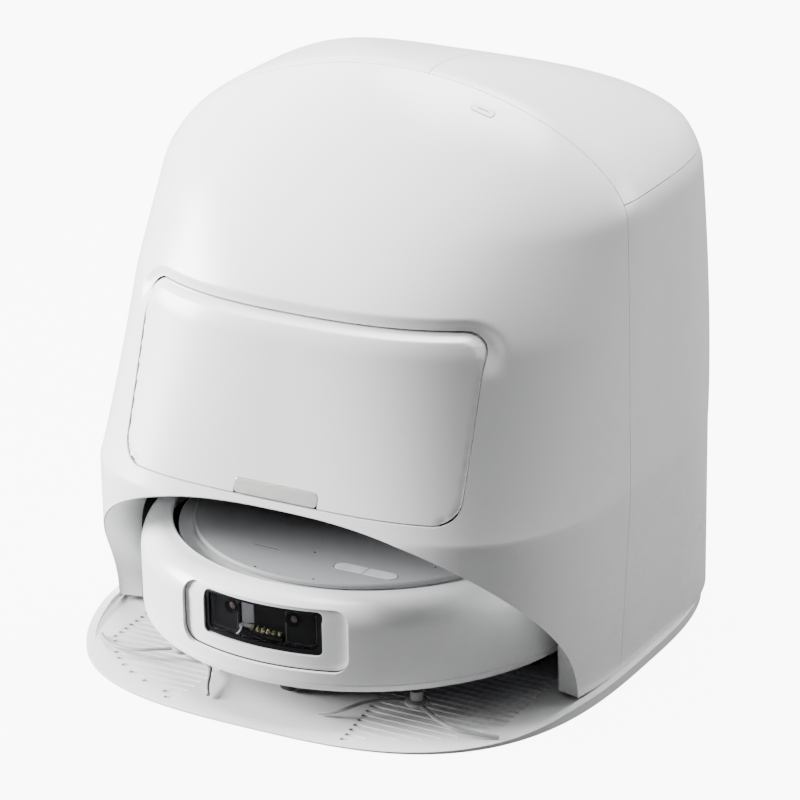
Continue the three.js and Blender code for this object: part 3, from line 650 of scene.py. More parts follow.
def mouth_point(x, z):
    """The point of the liner's mouth that a point of the arch's edge leads to."""
    up = max(z - SHELL_LOW_Z, 0) / (ARCH_TOP_Z - SHELL_LOW_Z)
    spread = math.atan2(up, x / ARCH_HALF)
    across, up = abs(math.cos(spread)), math.sin(spread)
    radius = (across ** 7 + up ** 7) ** (-1 / 7)
    return radius * math.cos(spread) * GARAGE_HALF, SHELL_LOW_Z + radius * up * (GARAGE_TOP_Z - SHELL_LOW_Z)


arch_edge = [(x, z) for x, z in arch_outline(0.15, SHELL_LOW_Z, 96) if z > SHELL_LOW_Z + 1]
arch_edge = [(ARCH_HALF, SHELL_LOW_Z)] + arch_edge + [(-ARCH_HALF, SHELL_LOW_Z)]
bm = bmesh.new()
bmesh.ops.create_grid(bm, x_segments=len(arch_edge) - 1, y_segments=THROAT_ROWS, size=1)
for vert in bm.verts:
    i = round((vert.co.x + 1) / 2 * (len(arch_edge) - 1))
    share = (vert.co.y + 1) / 2
    x, z = arch_edge[i]
    start = at(x, skin_front_y(x, max(z, SHELL_LOW_Z)) + 1.3, max(z, SHELL_LOW_Z))
    x, z = mouth_point(x, z)
    vert.co = start.lerp(at(x, GARAGE_FRONT_Y + 0.3, z), share)
bmesh.ops.recalc_face_normals(bm, faces=bm.faces)
if bm.faces[0].normal.x > 0:
    bmesh.ops.reverse_faces(bm, faces=bm.faces)
throat = walled(object_of("garage_throat", bm), -1.2)
smoothed(throat, 40)
placed(throat, white_satin, "station", "gloss_white_plastic")


def softened(name, node, edge, segments=2):
    """A CAD solid with its triangles merged into faces and its corners rounded by edge millimetres."""
    bm = bmesh.new()
    bm.from_mesh(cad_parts[node].data)
    bmesh.ops.remove_doubles(bm, verts=bm.verts, dist=1e-6)
    bmesh.ops.dissolve_limit(bm, angle_limit=math.radians(1.5), verts=bm.verts, edges=bm.edges)
    return edge_rounded(object_of(name, bm), edge, segments)


liner = softened("garage_liner_moulding", "garage_liner", 0.5)
placed(liner, black_plastic, "station", "dark_plastic", "garage_liner")
for word in ("left", "right"):
    blade = softened("charging_blade_" + word, "charging_contact_" + word, 1.2, 4)
    placed(blade, bright_steel, "station", "bright_metal", "charging_contact_" + word)

mid_grey = moulded("mid_grey", (0.36, 0.365, 0.37), 0.55, 900, 0.25, 0.92)
BOARD_OUTLINE = rectangle(-122, 122, 38, 158, 30, 8)
BOARD_LOW_Z = TRAY_FLOOR_Z + 0.3
BOARD_TOP_Z = TRAY_FLOOR_Z + 0.9
STUD_CENTRE = (62, 95)
STUD_RINGS = (16, 28, 40)
STUD_RADIUS = 0.0022
STUD_FLATNESS = 0.34
studs = [slab("scrubbing_board", BOARD_OUTLINE, BOARD_LOW_Z, BOARD_TOP_Z, 0.2)]
for side in (-1, 1):
    for ring_radius in STUD_RINGS:
        for k in range(ring_radius // 2):
            angle = k / (ring_radius // 2) * 2 * math.pi
            x = side * STUD_CENTRE[0] + ring_radius * math.cos(angle)
            y = STUD_CENTRE[1] + ring_radius * math.sin(angle)
            bm = bmesh.new()
            bmesh.ops.create_uvsphere(bm, u_segments=10, v_segments=6, radius=STUD_RADIUS)
            bmesh.ops.scale(bm, vec=(1, 1, STUD_FLATNESS), verts=bm.verts)
            bmesh.ops.translate(bm, vec=at(x, y, BOARD_TOP_Z), verts=bm.verts)
            studs.append(object_of("stud", bm))
board = joined("scrubbing_board", studs)
placed(board, mid_grey, "station", "grey_plastic", "washboard")


# The dust compartment behind the door: a black tub with two hinge ears and steel pins, holding the
# fleece dust bag on its card collar and the detergent bottle.
tub = softened("dust_tub", "dust_compartment", 0.6)
cove_room = [(-108, 284), (-84, 284), (-84, 300), (-108, 300)]
combined(tub, "DIFFERENCE", side_cut("cove_room_tool", cove_room, -50, 50))
edge_rounded(tub, 0.3, 2, 50)
placed(tub, black_plastic, "station", "dark_plastic", "dust_compartment")
for word in ("left", "right"):
    pin = softened("hinge_pin_" + word, "door_hinge_pin_" + word, 0.2)
    placed(pin, bright_steel, "station", "bright_metal", "door_hinge_pin_" + word)


def fleece_group():
    """Matted fibres at two sizes, for felts and looped cloth, with painted shade in the hollows between the
    fibres.
    """
    group = bpy.data.node_groups.new("matted_fibres", "ShaderNodeTree")
    face = group.interface
    face.new_socket(name="Colour", in_out="INPUT", socket_type="NodeSocketColor")
    for name in ("Fibre Scale", "Depth", "Shade"):
        face.new_socket(name=name, in_out="INPUT", socket_type="NodeSocketFloat")
    face.new_socket(name="Colour", in_out="OUTPUT", socket_type="NodeSocketColor")
    face.new_socket(name="Normal", in_out="OUTPUT", socket_type="NodeSocketVector")
    nodes, links = group.nodes, group.links
    given, out = nodes.new("NodeGroupInput"), nodes.new("NodeGroupOutput")
    place = nodes.new("ShaderNodeTexCoord")
    loops = nodes.new("ShaderNodeTexVoronoi")
    strands = nodes.new("ShaderNodeTexNoise")
    strands.inputs["Detail"].default_value = 6
    strands.inputs["Distortion"].default_value = 1.6
    for texture in (loops, strands):
        links.new(place.outputs["Object"], texture.inputs["Vector"])
        links.new(given.outputs["Fibre Scale"], texture.inputs["Scale"])
    height = nodes.new("ShaderNodeMath")
    height.operation = "SUBTRACT"
    links.new(strands.outputs["Fac"], height.inputs[0])
    links.new(loops.outputs["Distance"], height.inputs[1])
    # Painted shade: the colour darkens down to the Shade factor where the fibre height is low, in the hollows
    # between the loops.
    tone = nodes.new("ShaderNodeMapRange")
    tone.inputs["From Min"].default_value = -0.4
    tone.inputs["From Max"].default_value = 0.5
    tone.inputs["To Max"].default_value = 1
    links.new(height.outputs["Value"], tone.inputs["Value"])
    links.new(given.outputs["Shade"], tone.inputs["To Min"])
    shade = nodes.new("ShaderNodeVectorMath")
    shade.operation = "SCALE"
    links.new(given.outputs["Colour"], shade.inputs[0])
    links.new(tone.outputs["Result"], shade.inputs["Scale"])
    links.new(shade.outputs["Vector"], out.inputs["Colour"])
    bump = nodes.new("ShaderNodeBump")
    bump.inputs["Distance"].default_value = 0.0006
    links.new(height.outputs["Value"], bump.inputs["Height"])
    links.new(given.outputs["Depth"], bump.inputs["Strength"])
    links.new(bump.outputs["Normal"], out.inputs["Normal"])
    return group


matted_fibres = fleece_group()


def fleece(name, colour, scale, depth=0.8, shade=0.7):
    material = bpy.data.materials.new(name)
    material.use_nodes = True
    nodes, links = material.node_tree.nodes, material.node_tree.links
    fibres = nodes.new("ShaderNodeGroup")
    fibres.node_tree = matted_fibres
    fibres.inputs["Colour"].default_value = (*colour, 1)
    fibres.inputs["Fibre Scale"].default_value = scale
    fibres.inputs["Depth"].default_value = depth
    # Shade is the darkest factor of the painted shade in the fibre hollows.
    fibres.inputs["Shade"].default_value = shade
    shader = nodes["Principled BSDF"]
    shader.inputs["Roughness"].default_value = 0.95
    shader.inputs["Sheen Weight"].default_value = 0.3
    shader.inputs["Sheen Roughness"].default_value = 0.6
    links.new(fibres.outputs["Colour"], shader.inputs["Base Color"])
    links.new(fibres.outputs["Normal"], shader.inputs["Normal"])
    return material


bag_fleece = fleece("bag_fleece", (0.74, 0.73, 0.7), 420, 0.7)
BAG_MIDDLE = (-30, -30)
BAG_HALF = (50, 30)
BAG_Z = (180, 270)
BAG_SWELL = 0.005
CLOTH_VOXEL = 0.005
CLOTH_STEPS = 20
CREASE_DEPTH = 0.0016
SEAM_HALF = 0.0016
SEAM_HEIGHT = 0.0015


def dust_bag():
    """Two welded layers of fleece, blown up by the fan and held by its collar."""
    bm = bmesh.new()
    bmesh.ops.create_cube(bm, size=1)
    bmesh.ops.subdivide_edges(bm, edges=bm.edges[:], cuts=14, use_grid_fill=True)
    low = at(BAG_MIDDLE[0] - BAG_HALF[0], BAG_MIDDLE[1] - BAG_HALF[1], BAG_Z[0])
    high = at(BAG_MIDDLE[0] + BAG_HALF[0], BAG_MIDDLE[1] + BAG_HALF[1], BAG_Z[1])
    for vert in bm.verts:
        share = vert.co + Vector((0.5, 0.5, 0.5))
        vert.co = Vector([low[k] + (high[k] - low[k]) * share[k] for k in range(3)])
    rims = [e for e in bm.edges if e.calc_face_angle(0) > 1]
    bmesh.ops.bevel(bm, geom=rims, offset=0.009, affect="EDGES", segments=3, profile=0.5, material=-1)
    bag = object_of("dust_bag_fleece", bm)
    remesh = bag.modifiers.new("even_cloth", "REMESH")
    remesh.mode = "VOXEL"
    remesh.voxel_size = CLOTH_VOXEL
    settled(bag)
    start = [vert.co.copy() for vert in bag.data.vertices]
    cloth = bag.modifiers.new("blown_up", "CLOTH")
    cloth.settings.use_pressure = True
    cloth.settings.uniform_pressure_force = 4
    cloth.settings.effector_weights.gravity = 0
    cloth.settings.quality = 5
    for step in range(1, CLOTH_STEPS + 1):
        bpy.context.scene.frame_set(step)
    settled(bag)
    bpy.context.scene.frame_set(1)
    for vert, before in zip(bag.data.vertices, start):
        move = vert.co - before
        if move.length > BAG_SWELL:
            vert.co = before + move.normalized() * BAG_SWELL
    middle = at(*BAG_MIDDLE, (BAG_Z[0] + BAG_Z[1]) / 2)
    for vert in bag.data.vertices:
        away = vert.co - middle
        crease = math.sin(away.x * 190 + away.z * 60) * math.cos(away.z * 130 - away.x * 40)
        vert.co -= away.normalized() * max(0, crease) * CREASE_DEPTH
        seam = math.exp(-(away.y / SEAM_HALF) ** 2)
        edge = max(abs(away.x) / (BAG_HALF[0] / 1000), abs(away.z) / 0.045)
        if edge > 0.8:
            vert.co += Vector((away.x, 0, away.z)).normalized() * seam * SEAM_HEIGHT
    finer = bag.modifiers.new("finer", "SUBSURF")
    finer.levels = finer.render_levels = 1
    settled(bag)
    bag.data.shade_smooth()
    return bag


bag = dust_bag()
placed(bag, bag_fleece, "station", "bag_fleece", "dust_bag")

card = moulded("collar_card", (0.45, 0.34, 0.22), 0.85, 500, 0.4, 0.85)
collar = slab("bag_collar", rectangle(-72, 12, -72, 12, 8, 5), 172.5, 175, 0.4)
hole = [(-14 + 15 * math.cos(a / 24 * math.pi), -14 + 15 * math.sin(a / 24 * math.pi)) for a in range(48)]
combined(collar, "DIFFERENCE", slab("collar_hole_tool", hole, 165, 180))
edge_rounded(collar, 0.3)
placed(collar, card, "station", "grey_plastic")


def turned(name, profile, place, axis=(0, 0, 1), steps=96):
    """Spins a closed outline of (radius, height) in millimetres about an axis through a place."""
    bm = bmesh.new()
    points = [bm.verts.new((p[0] / 1000, 0, p[1] / 1000)) for p in profile]
    edges = [bm.edges.new((points[i - 1], points[i])) for i in range(len(points))]
    bmesh.ops.spin(bm, geom=points + edges, cent=(0, 0, 0), axis=(0, 0, 1), angle=2 * math.pi,
                   steps=steps, use_merge=True, use_duplicate=False)
    bmesh.ops.remove_doubles(bm, verts=bm.verts, dist=1e-6)
    bmesh.ops.dissolve_degenerate(bm, dist=1e-7, edges=bm.edges)
    bmesh.ops.recalc_face_normals(bm, faces=bm.faces)
    aim = Vector((0, 0, 1)).rotation_difference(Vector(axis)).to_matrix().to_4x4()
    bmesh.ops.transform(bm, matrix=Matrix.Translation(place) @ aim, verts=bm.verts)
    return smoothed(object_of(name, bm), 34)


bottle = slab("detergent_tank", rectangle(66, 122, -58, 8, 12), 171, 259, 5)
edge_rounded(bottle, 1.0, 3)
placed(bottle, pale_satin, "station", "satin_pale_plastic", "detergent_bottle")
cap_profile = eased(((0, 258), (14, 258), (14, 271), (12, 274), (0, 274)), 0.8)
cap = turned("detergent_cap", cap_profile, at(94, -25, 0))
placed(cap, mid_grey, "station", "grey_plastic")


# The dust door: one glossy moulding on two hinge lugs. Its top edge turns in as a cove, so that it
# swings up under the cover's scoop. A satin metal finger tab is let into its lower edge.
DOOR_INSET = 0.4
HINGE_X = 31
HINGE_Y = -101
HINGE_Z = 281
LUG_HALF = 4.5
LUG_CORNERS = ((-117, 266), (-113, 266), (-98, 279), (-98, 283.5), (-104, 284), (-110, 281))
DOOR_WALL = 2.6
COVE_TOP_Z = 292.3
TAB_HALF = 35
TAB_HIGH_Z = 174


def cove(x, z):
    """How far the door's top edge turns inwards."""
    away = max(0, outside_door(x, z))
    return SCOOP_DEPTH * (1 - (1 - min(1, away / 4)) ** 2)


door_outline = rectangle(-DOOR_HALF, DOOR_HALF, DOOR_LOW_Z, COVE_TOP_Z, 17)
door = walled(skin("dust_door", inset=DOOR_INSET, low=100, dent=cove,
                   planes=[(at(0, -20, 0), Vector((0, 1, 0))), (at(0, 0, 310), Vector((0, 0, 1)))],
                   around=480), DOOR_WALL)
combined(door, "INTERSECT", front_cut("door_outline_tool", door_outline, -300, -25))
tab_outline = [(-TAB_HALF, DOOR_LOW_Z - 3), (TAB_HALF, DOOR_LOW_Z - 3),
               (TAB_HALF, TAB_HIGH_Z), (-TAB_HALF, TAB_HIGH_Z)]
tab_well = eased([(x * 1.008, z + (0.3 if z > DOOR_LOW_Z else 0)) for x, z in tab_outline], 4.5, 6)
combined(door, "DIFFERENCE", front_cut("tab_well_tool", tab_well, -300, -100))
edge_rounded(door, 0.45, 3)
lugs = [door]
for side in (-1, 1):
    lug_outline = eased(LUG_CORNERS, 1.5)
    lug = side_cut("lug", lug_outline, side * HINGE_X - LUG_HALF, side * HINGE_X + LUG_HALF, 0.6)
    pinhole = turned("pinhole_tool", [(0, -10), (1.8, -10), (1.8, 10), (0, 10)],
                     at(side * HINGE_X, HINGE_Y, HINGE_Z), (1, 0, 0), 24)
    lugs.append(combined(lug, "DIFFERENCE", pinhole))
door = joined("dust_door", lugs)
placed(door, white_gloss, "door", "gloss_white_plastic", "front_door")

satin_aluminium = metal("satin_aluminium", (0.66, 0.655, 0.64), 0.42, (1, 40, 40), 90)
tab = walled(skin("finger_tab", inset=0.25, low=150, planes=[
    (at(0, -20, 0), Vector((0, 1, 0))), (at(0, 0, 190), Vector((0, 0, 1)))]), 2.2)
tab_shape = eased([(x, max(z, DOOR_LOW_Z + 0.2)) for x, z in tab_outline], 4.3, 6)
combined(tab, "INTERSECT", front_cut("tab_tool", tab_shape, -300, -100))
edge_rounded(tab, 0.35)
placed(tab, satin_aluminium, "door", "satin_metal_tab", "door_tab")


# What drives the station, out of sight between the garage and the tanks: the dust duct, the suction
# fan, the water pump and the control board. They are bought parts, clipped into the shells.
duct = softened("duct_hose", "dust_duct", 0.3)
placed(duct, mid_grey, "station", "grey_plastic", "dust_duct")
fan = softened("suction_fan", "suction_fan_motor", 1.2, 3)
placed(fan, black_plastic, "station", "dark_plastic", "suction_fan_motor")
pump = softened("pump_body", "water_pump", 0.9, 3)
placed(pump, mid_grey, "station", "grey_plastic", "water_pump")


def board_lacquer(name, colour):
    """Green lacquer over copper tracks, with small dark parts."""
    material = bpy.data.materials.new(name)
    material.use_nodes = True
    nodes, links = material.node_tree.nodes, material.node_tree.links
    place = nodes.new("ShaderNodeTexCoord")
    tracks = nodes.new("ShaderNodeTexBrick")
    tracks.inputs["Scale"].default_value = 90
    tracks.inputs["Mortar Size"].default_value = 0.03
    tracks.inputs["Color1"].default_value = (*colour, 1)
    tracks.inputs["Color2"].default_value = (*[c * 0.8 for c in colour], 1)
    tracks.inputs["Mortar"].default_value = (colour[0] + 0.05, colour[1] + 0.12, colour[2] + 0.05, 1)
    bump = nodes.new("ShaderNodeBump")
    bump.inputs["Distance"].default_value = 0.0001
    shader = nodes["Principled BSDF"]
    shader.inputs["Roughness"].default_value = 0.35
    links.new(place.outputs["Object"], tracks.inputs["Vector"])
    links.new(tracks.outputs["Color"], shader.inputs["Base Color"])
    links.new(tracks.outputs["Fac"], bump.inputs["Height"])
    links.new(bump.outputs["Normal"], shader.inputs["Normal"])
    return material


green_board = board_lacquer("green_board", (0.02, 0.13, 0.07))
control = softened("control_board_assembly", "control_board", 0.25)
placed(control, green_board, "station", "circuit_board", "control_board")


# The two water tanks lift out of the back. Each is a smoky clear tub on the pale tank deck, closed by a
# glossy white lid that carries the station's crown and hinges at the back on a grey rubber seal.
TANK_SPLIT_X = 30
LID_LOW_Z = TANK_SEAM_Z + SEAM_GAP
SEAL_LOW_Z = 356.4
SEAL_HIGH_Z = 359.8
SEAL_IN = 8
SEAL_WIDTH = 2.6

deck_shelf = softened("tank_shelf", "tank_deck", 0.8)
placed(deck_shelf, pale_satin, "station", "satin_pale_plastic", "tank_deck")


def clear_plastic(name, transmission, ior, haze_scale, haze_detail, thin, thick, gloss):
    """A see-through plastic whose tint and gloss drift between two values each."""
    material = bpy.data.materials.new(name)
    material.use_nodes = True
    nodes, links = material.node_tree.nodes, material.node_tree.links
    shader = nodes["Principled BSDF"]
    shader.inputs["Transmission Weight"].default_value = transmission
    shader.inputs["IOR"].default_value = ior
    place = nodes.new("ShaderNodeTexCoord")
    haze = nodes.new("ShaderNodeTexNoise")
    haze.inputs["Scale"].default_value = haze_scale
    haze.inputs["Detail"].default_value = haze_detail
    tint = nodes.new("ShaderNodeMix")
    tint.data_type = "RGBA"
    tint.inputs["A"].default_value = (*thin, 1)
    tint.inputs["B"].default_value = (*thick, 1)
    ramp = nodes.new("ShaderNodeMapRange")
    ramp.inputs["To Min"].default_value, ramp.inputs["To Max"].default_value = gloss
    links.new(place.outputs["Object"], haze.inputs["Vector"])
    links.new(haze.outputs["Fac"], tint.inputs["Factor"])
    links.new(haze.outputs["Fac"], ramp.inputs["Value"])
    links.new(tint.outputs["Result"], shader.inputs["Base Color"])
    links.new(ramp.outputs["Result"], shader.inputs["Roughness"])
    return material


smoky_tank = clear_plastic("smoky_tank", 0.6, 1.45, 30, 4, (0.5, 0.54, 0.57), (0.62, 0.66, 0.68), (0.12, 0.3))
seal_rubber = moulded("seal_rubber", (0.12, 0.12, 0.125), 0.7, 700, 0.4, 0.85)
for word, low_x, high_x in (("clean", -300, TANK_SPLIT_X - SEAM_GAP),
                            ("dirty", TANK_SPLIT_X + SEAM_GAP, 300)):
    tub_piece = softened(word + "_tub", word + "_tank_tub", 1.0)
    placed(tub_piece, smoky_tank, word + "_tank", "translucent_tank_plastic", word + "_tank_tub")
    lid = skin(word + "_lid_cover", low=LID_LOW_Z, planes=[
        (at(0, TANK_SEAM_Y + SEAM_GAP, 0), Vector((0, -1, 0))),
        (at(low_x, 0, 0), Vector((-1, 0, 0))), (at(high_x, 0, 0), Vector((1, 0, 0)))])
    walled(lid)
    edge_rounded(lid, 0.45)
    tub_low, tub_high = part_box(word + "_tank_tub")
    rings = []
    for inward in (0, SEAL_WIDTH):
        step = inward / 1000
        rings.append(skin("seal_edge", inset=SEAL_IN + inward, low=SEAL_LOW_Z - inward, planes=[
            (tub_low + Vector((step, step, 0)), Vector((-1, 0, 0))),
            (tub_low + Vector((step, step, 0)), Vector((0, -1, 0))),
            (tub_high - Vector((step, step, 0)), Vector((1, 0, 0))),
            (tub_high - Vector((step, step, 0)), Vector((0, 1, 0))),
            (at(0, 0, SEAL_HIGH_Z + inward), Vector((0, 0, 1)))]))
    seal = combined(rings[0], "DIFFERENCE", rings[1])
    seal.name = word + "_tank_seal"
    edge_rounded(seal, 0.7, 3)
    placed(lid, white_gloss, word + "_lid", "gloss_white_plastic", word + "_tank_lid")
    placed(seal, seal_rubber, word + "_tank", "black_rubber")


# The robot's underside: a black pan with chamfered sides, and what turns below it. The wheels have
# ribbed rubber tyres on sprung arms, the roller has rubber fins under a snap-in guard, and the
# caster rolls at the front.
pan = softened("robot_pan", "robot_chassis", 0.8)
placed(pan, black_plastic, "robot", "dark_plastic", "robot_chassis")
guard = softened("roller_cage", "roller_guard", 0.35)
placed(guard, mid_grey, "robot", "grey_plastic", "roller_guard")
fork = softened("caster_yoke", "caster_fork", 0.4)
placed(fork, black_plastic, "caster_swivel_body", "dark_plastic", "caster_fork")
WHEEL_X = 137
WHEEL_Z = 38.1
TREAD_COUNT = 30
TREAD_LONG = 0.0087
TREAD_WIDE = 0.0011
TREAD_FOOT = 0.0312
TREAD_TALL = 0.0014
CASTER_Y = -128
CASTER_Z = 13.6
ROLLER_Z = 27
FIN_COUNT = 5
FIN_HALF = 78
FIN_FOOT = 11
FIN_REACH = 7.6
FIN_SWEEP = 0.55

caster_profile = eased(((1.9, -5), (7.2, -5), (8.4, -3), (8.4, 3), (7.2, 5), (1.9, 5)), 0.8)
caster = turned("caster_tyre", caster_profile, at(0, CASTER_Y, CASTER_Z), (1, 0, 0), 64)
placed(caster, black_rubber, "caster_roller", "black_rubber", "caster_wheel")
tyre_profile = eased(((4.4, -7), (12, -7), (12, -4), (24, -4), (25, -9), (30.4, -9), (31.6, -7.4),
                      (31.6, 7.4), (30.4, 9), (25, 9), (24, 4), (12, 4), (12, 7), (4.4, 7)), 0.6, 3)
tread_foot = [Vector((x, y, TREAD_FOOT)) for x, y in (
    (-TREAD_LONG, -TREAD_WIDE), (TREAD_LONG, -TREAD_WIDE),
    (TREAD_LONG, TREAD_WIDE), (-TREAD_LONG, TREAD_WIDE))]
for word, side in (("left", -1), ("right", 1)):
    arm = softened("swing_arm_" + word, "wheel_arm_" + word, 0.8)
    placed(arm, black_plastic, "arm_" + word, "dark_plastic", "wheel_arm_" + word)
    hub_x = side * WHEEL_X
    tyre = turned("tyre_" + word, tyre_profile, at(hub_x, 0, WHEEL_Z), (1, 0, 0), 90)
    treads = [tyre]
    for k in range(TREAD_COUNT):
        angle = k / TREAD_COUNT * 2 * math.pi
        tread = pushed("tread", tread_foot, (0, 0, TREAD_TALL), 0.35, 1)
        turn_to = Matrix.Translation(at(hub_x, 0, WHEEL_Z)) @ Matrix.Rotation(angle, 4, "X")
        tread.data.transform(turn_to)
        treads.append(tread)
    tyre = joined("tyre_" + word, treads)
    placed(tyre, black_rubber, "wheel_" + word, "black_rubber", "drive_wheel_" + word)

rubber_grey = moulded("rubber_grey", (0.16, 0.165, 0.17), 0.7, 700, 0.35, 0.85)
core_profile = eased(((0, -83.4), (3, -83.4), (3, -80), (11.6, -79),
                      (11.6, 79), (3, 80), (3, 83.4), (0, 83.4)), 0.8)
fins = [turned("roller_core", core_profile, at(0, 0, ROLLER_Z), (1, 0, 0), 48)]
for k in range(FIN_COUNT):
    bm = bmesh.new()
    bmesh.ops.create_grid(bm, x_segments=60, y_segments=3, size=1)
    for vert in bm.verts:
        share = vert.co.x
        bend = k / FIN_COUNT * 2 * math.pi + abs(share) * FIN_SWEEP
        reach = FIN_FOOT + (vert.co.y + 1) / 2 * FIN_REACH
        vert.co = at(share * FIN_HALF, reach * math.sin(bend), ROLLER_Z + reach * math.cos(bend))
    fins.append(walled(object_of("fin", bm), 1.3))
roller = joined("roller_brush", fins)
placed(roller, rubber_grey, "roller", "dark_plastic", "main_roller")


# The two side brushes: a satin hub screwed to its motor, and two bent arms in a wide V. Each arm is a
# flat blade that ends in a soft round bristle tube, resting on the tray.
# Each arm's places: how far out from the hub, at what angle in degrees, and how high.
ARMS = {
    "right": (
        ((7, -36, 12.2), (20, -35, 12), (34, -33, 11.5), (48, -27, 9.8), (62, -17, 7.6), (75.5, -10, 6.3)),
        ((7, -165, 12.2), (20, -162, 12.3), (38, -152, 12), (52, -143, 11), (62, -144, 8.5), (72, -148, 6.3)),
    ),
    "left": (
        ((7, -145, 12.2), (20, -147, 12), (36, -150, 11.5), (50, -160, 9.8), (64, -172, 7.6), (75.5, -182, 6.3)),
        ((7, -20, 12.2), (20, -24, 12.3), (38, -29, 12), (50, -36, 11), (62, -42, 8.5), (72, -44, 6.3)),
    ),
}
BRUSH_X = 100
BRUSH_Y = -115
brush_grey = moulded("brush_grey", (0.36, 0.36, 0.365), 0.6, 1200, 0.4, 0.85)


def curve_through(points, steps=10):
    """A smooth run through a few places."""
    run = []
    for i in range(len(points) - 1):
        before = points[max(i - 1, 0)]
        after = points[min(i + 2, len(points) - 1)]
        for k in range(steps):
            t = k / steps
            a, b = points[i], points[i + 1]
            run.append(0.5 * ((2 * a) + (b - before) * t + (2 * before - 5 * a + 4 * b - after) * t * t
                              + (3 * a - before - 3 * b + after) * t ** 3))
    return run + [points[-1]]


def rod_along(name, run, half_width, half_height, sides=12):
    """A closed rod of changing flat-to-round section along a run of places."""
    bm = bmesh.new()
    bmesh.ops.create_circle(bm, cap_ends=True, segments=sides, radius=1)
    unit = [vert.co.copy() for vert in bm.verts]
    loops = []
    for i in range(len(run)):
        if i:
            cap = [f for f in bm.faces if len(f.verts) == sides and set(f.verts) == set(loops[-1])]
            grown = bmesh.ops.extrude_face_region(bm, geom=cap)
            ring = [g for g in grown["geom"] if isinstance(g, bmesh.types.BMVert)]
            ring.sort(key=lambda vert: [(vert.co - old.co).length < 1e-9 for old in loops[-1]].index(True))
            if i > 1:
                bmesh.ops.delete(bm, geom=[f for f in cap if f.is_valid], context="FACES_ONLY")
        else:
            ring = bm.verts[:]
        ahead = (run[min(i + 1, len(run) - 1)] - run[max(i - 1, 0)]).normalized()
        across = ahead.cross(Vector((0, 0, 1))).normalized()
        up = across.cross(ahead)
        share = i / (len(run) - 1)
        for vert, place in zip(ring, unit):
            sideways = across * place.x * half_width(share) / 1000
            vert.co = run[i] + sideways + up * place.y * half_height(share) / 1000
        loops.append(ring)
    bmesh.ops.recalc_face_normals(bm, faces=bm.faces)
    return object_of(name, bm)


hub_profile = eased(((0, 9.6), (7, 9.6), (9, 11), (9, 13.4), (7, 14.4), (4.9, 14.8),
                     (4.9, 21.8), (0, 21.8)), 0.6)
for word, side in (("left", -1), ("right", 1)):
    hub = turned("brush_hub", hub_profile, at(side * BRUSH_X, BRUSH_Y, 0), steps=48)
    parts = [hub]
    for arm in ARMS[word]:
        places = [at(side * BRUSH_X + r * math.cos(math.radians(a)),
                     BRUSH_Y + r * math.sin(math.radians(a)), z) for r, a, z in arm]
        parts.append(rod_along("brush_arm", curve_through(places),
                               lambda t: 2.1 - 0.6 * eased_step((t - 0.4) * 5),
                               lambda t: 0.9 + 0.5 * eased_step((t - 0.4) * 5)))
    brush = joined("side_brush_moulding_" + word, parts)
    placed(brush, brush_grey, "brush_" + word, "satin_pale_plastic", "side_brush_" + word)


# The spinning mops: looped microfibre pads on black discs, held by their touch-fastening backs.
MOP_X = 62
MOP_Y = 95
MOP_R = 54.6
MOP_LOW_Z = 6.65
MOP_HIGH_Z = 9.3
TUFT = 0.28
TUFTS_ROUND = 36
microfibre = fleece("microfibre", (0.72, 0.71, 0.68), 650, 1.0, 0.6)
for word, side in (("left", -1), ("right", 1)):
    disc_piece = softened("mop_disc_" + word, "mop_plate_" + word, 0.5)
    placed(disc_piece, black_plastic, "mop_" + word, "dark_plastic", "mop_plate_" + word)
    bm = bmesh.new()
    bmesh.ops.create_circle(bm, cap_ends=False, segments=144, radius=1)
    rim = bm.edges[:]
    rings = [(MOP_R - 2, MOP_HIGH_Z), (MOP_R - 0.5, MOP_HIGH_Z - 0.4), (MOP_R, 8), (MOP_R - 0.5, 7.2)]
    rings += [(MOP_R - 1.2 - k * 2.1, MOP_LOW_Z) for k in range(25)]
    for step, (radius, z) in enumerate(rings):
        if step:
            grown = bmesh.ops.extrude_edge_only(bm, edges=rim)["geom"]
            fresh = [g for g in grown if isinstance(g, bmesh.types.BMVert)]
            inside = set(fresh)
            rim = [g for g in grown if isinstance(g, bmesh.types.BMEdge) and set(g.verts) <= inside]
        else:
            fresh = bm.verts[:]
        for vert in fresh:
            angle = math.atan2(vert.co.y - (AXIS_Y + MOP_Y / 1000 if step else 0),
                               vert.co.x - (side * MOP_X / 1000 if step else 0))
            weave = math.sin(angle * TUFTS_ROUND + step * 2.4) * math.sin(step * 1.9 + angle * 5)
            tuft = TUFT * weave if step > 3 else 0
            vert.co = at(side * MOP_X + radius * math.cos(angle), MOP_Y + radius * math.sin(angle),
                         z + 0.3 + tuft if step > 3 else z)
    bmesh.ops.contextual_create(bm, geom=rim)
    bmesh.ops.contextual_create(bm, geom=[e for e in bm.edges if e.is_boundary])
    bmesh.ops.recalc_face_normals(bm, faces=bm.faces)
    mop = smoothed(object_of("mop_cloth_" + word, bm), 60)
    placed(mop, microfibre, "mop_" + word, "mop_cloth", "mop_pad_" + word)


# Inside the robot: the battery in its blue wrap, the dust bin, the suction fan and the main board.
blue_wrap = moulded("blue_wrap", (0.04, 0.1, 0.22), 0.35, 500, 0.2, 0.8)
battery = softened("battery_block", "battery_pack", 1.5, 3)
placed(battery, blue_wrap, "robot", "battery_wrap", "battery_pack")
bin_piece = softened("dust_bin_box", "dust_bin", 1.2, 3)
placed(bin_piece, mid_grey, "robot", "grey_plastic", "dust_bin")
robot_fan = softened("robot_fan", "robot_fan_motor", 1.5, 3)
placed(robot_fan, black_plastic, "robot", "dark_plastic", "robot_fan_motor")
robot_board = softened("main_board_assembly", "main_board", 0.2)
placed(robot_board, green_board, "robot", "circuit_board", "main_board")


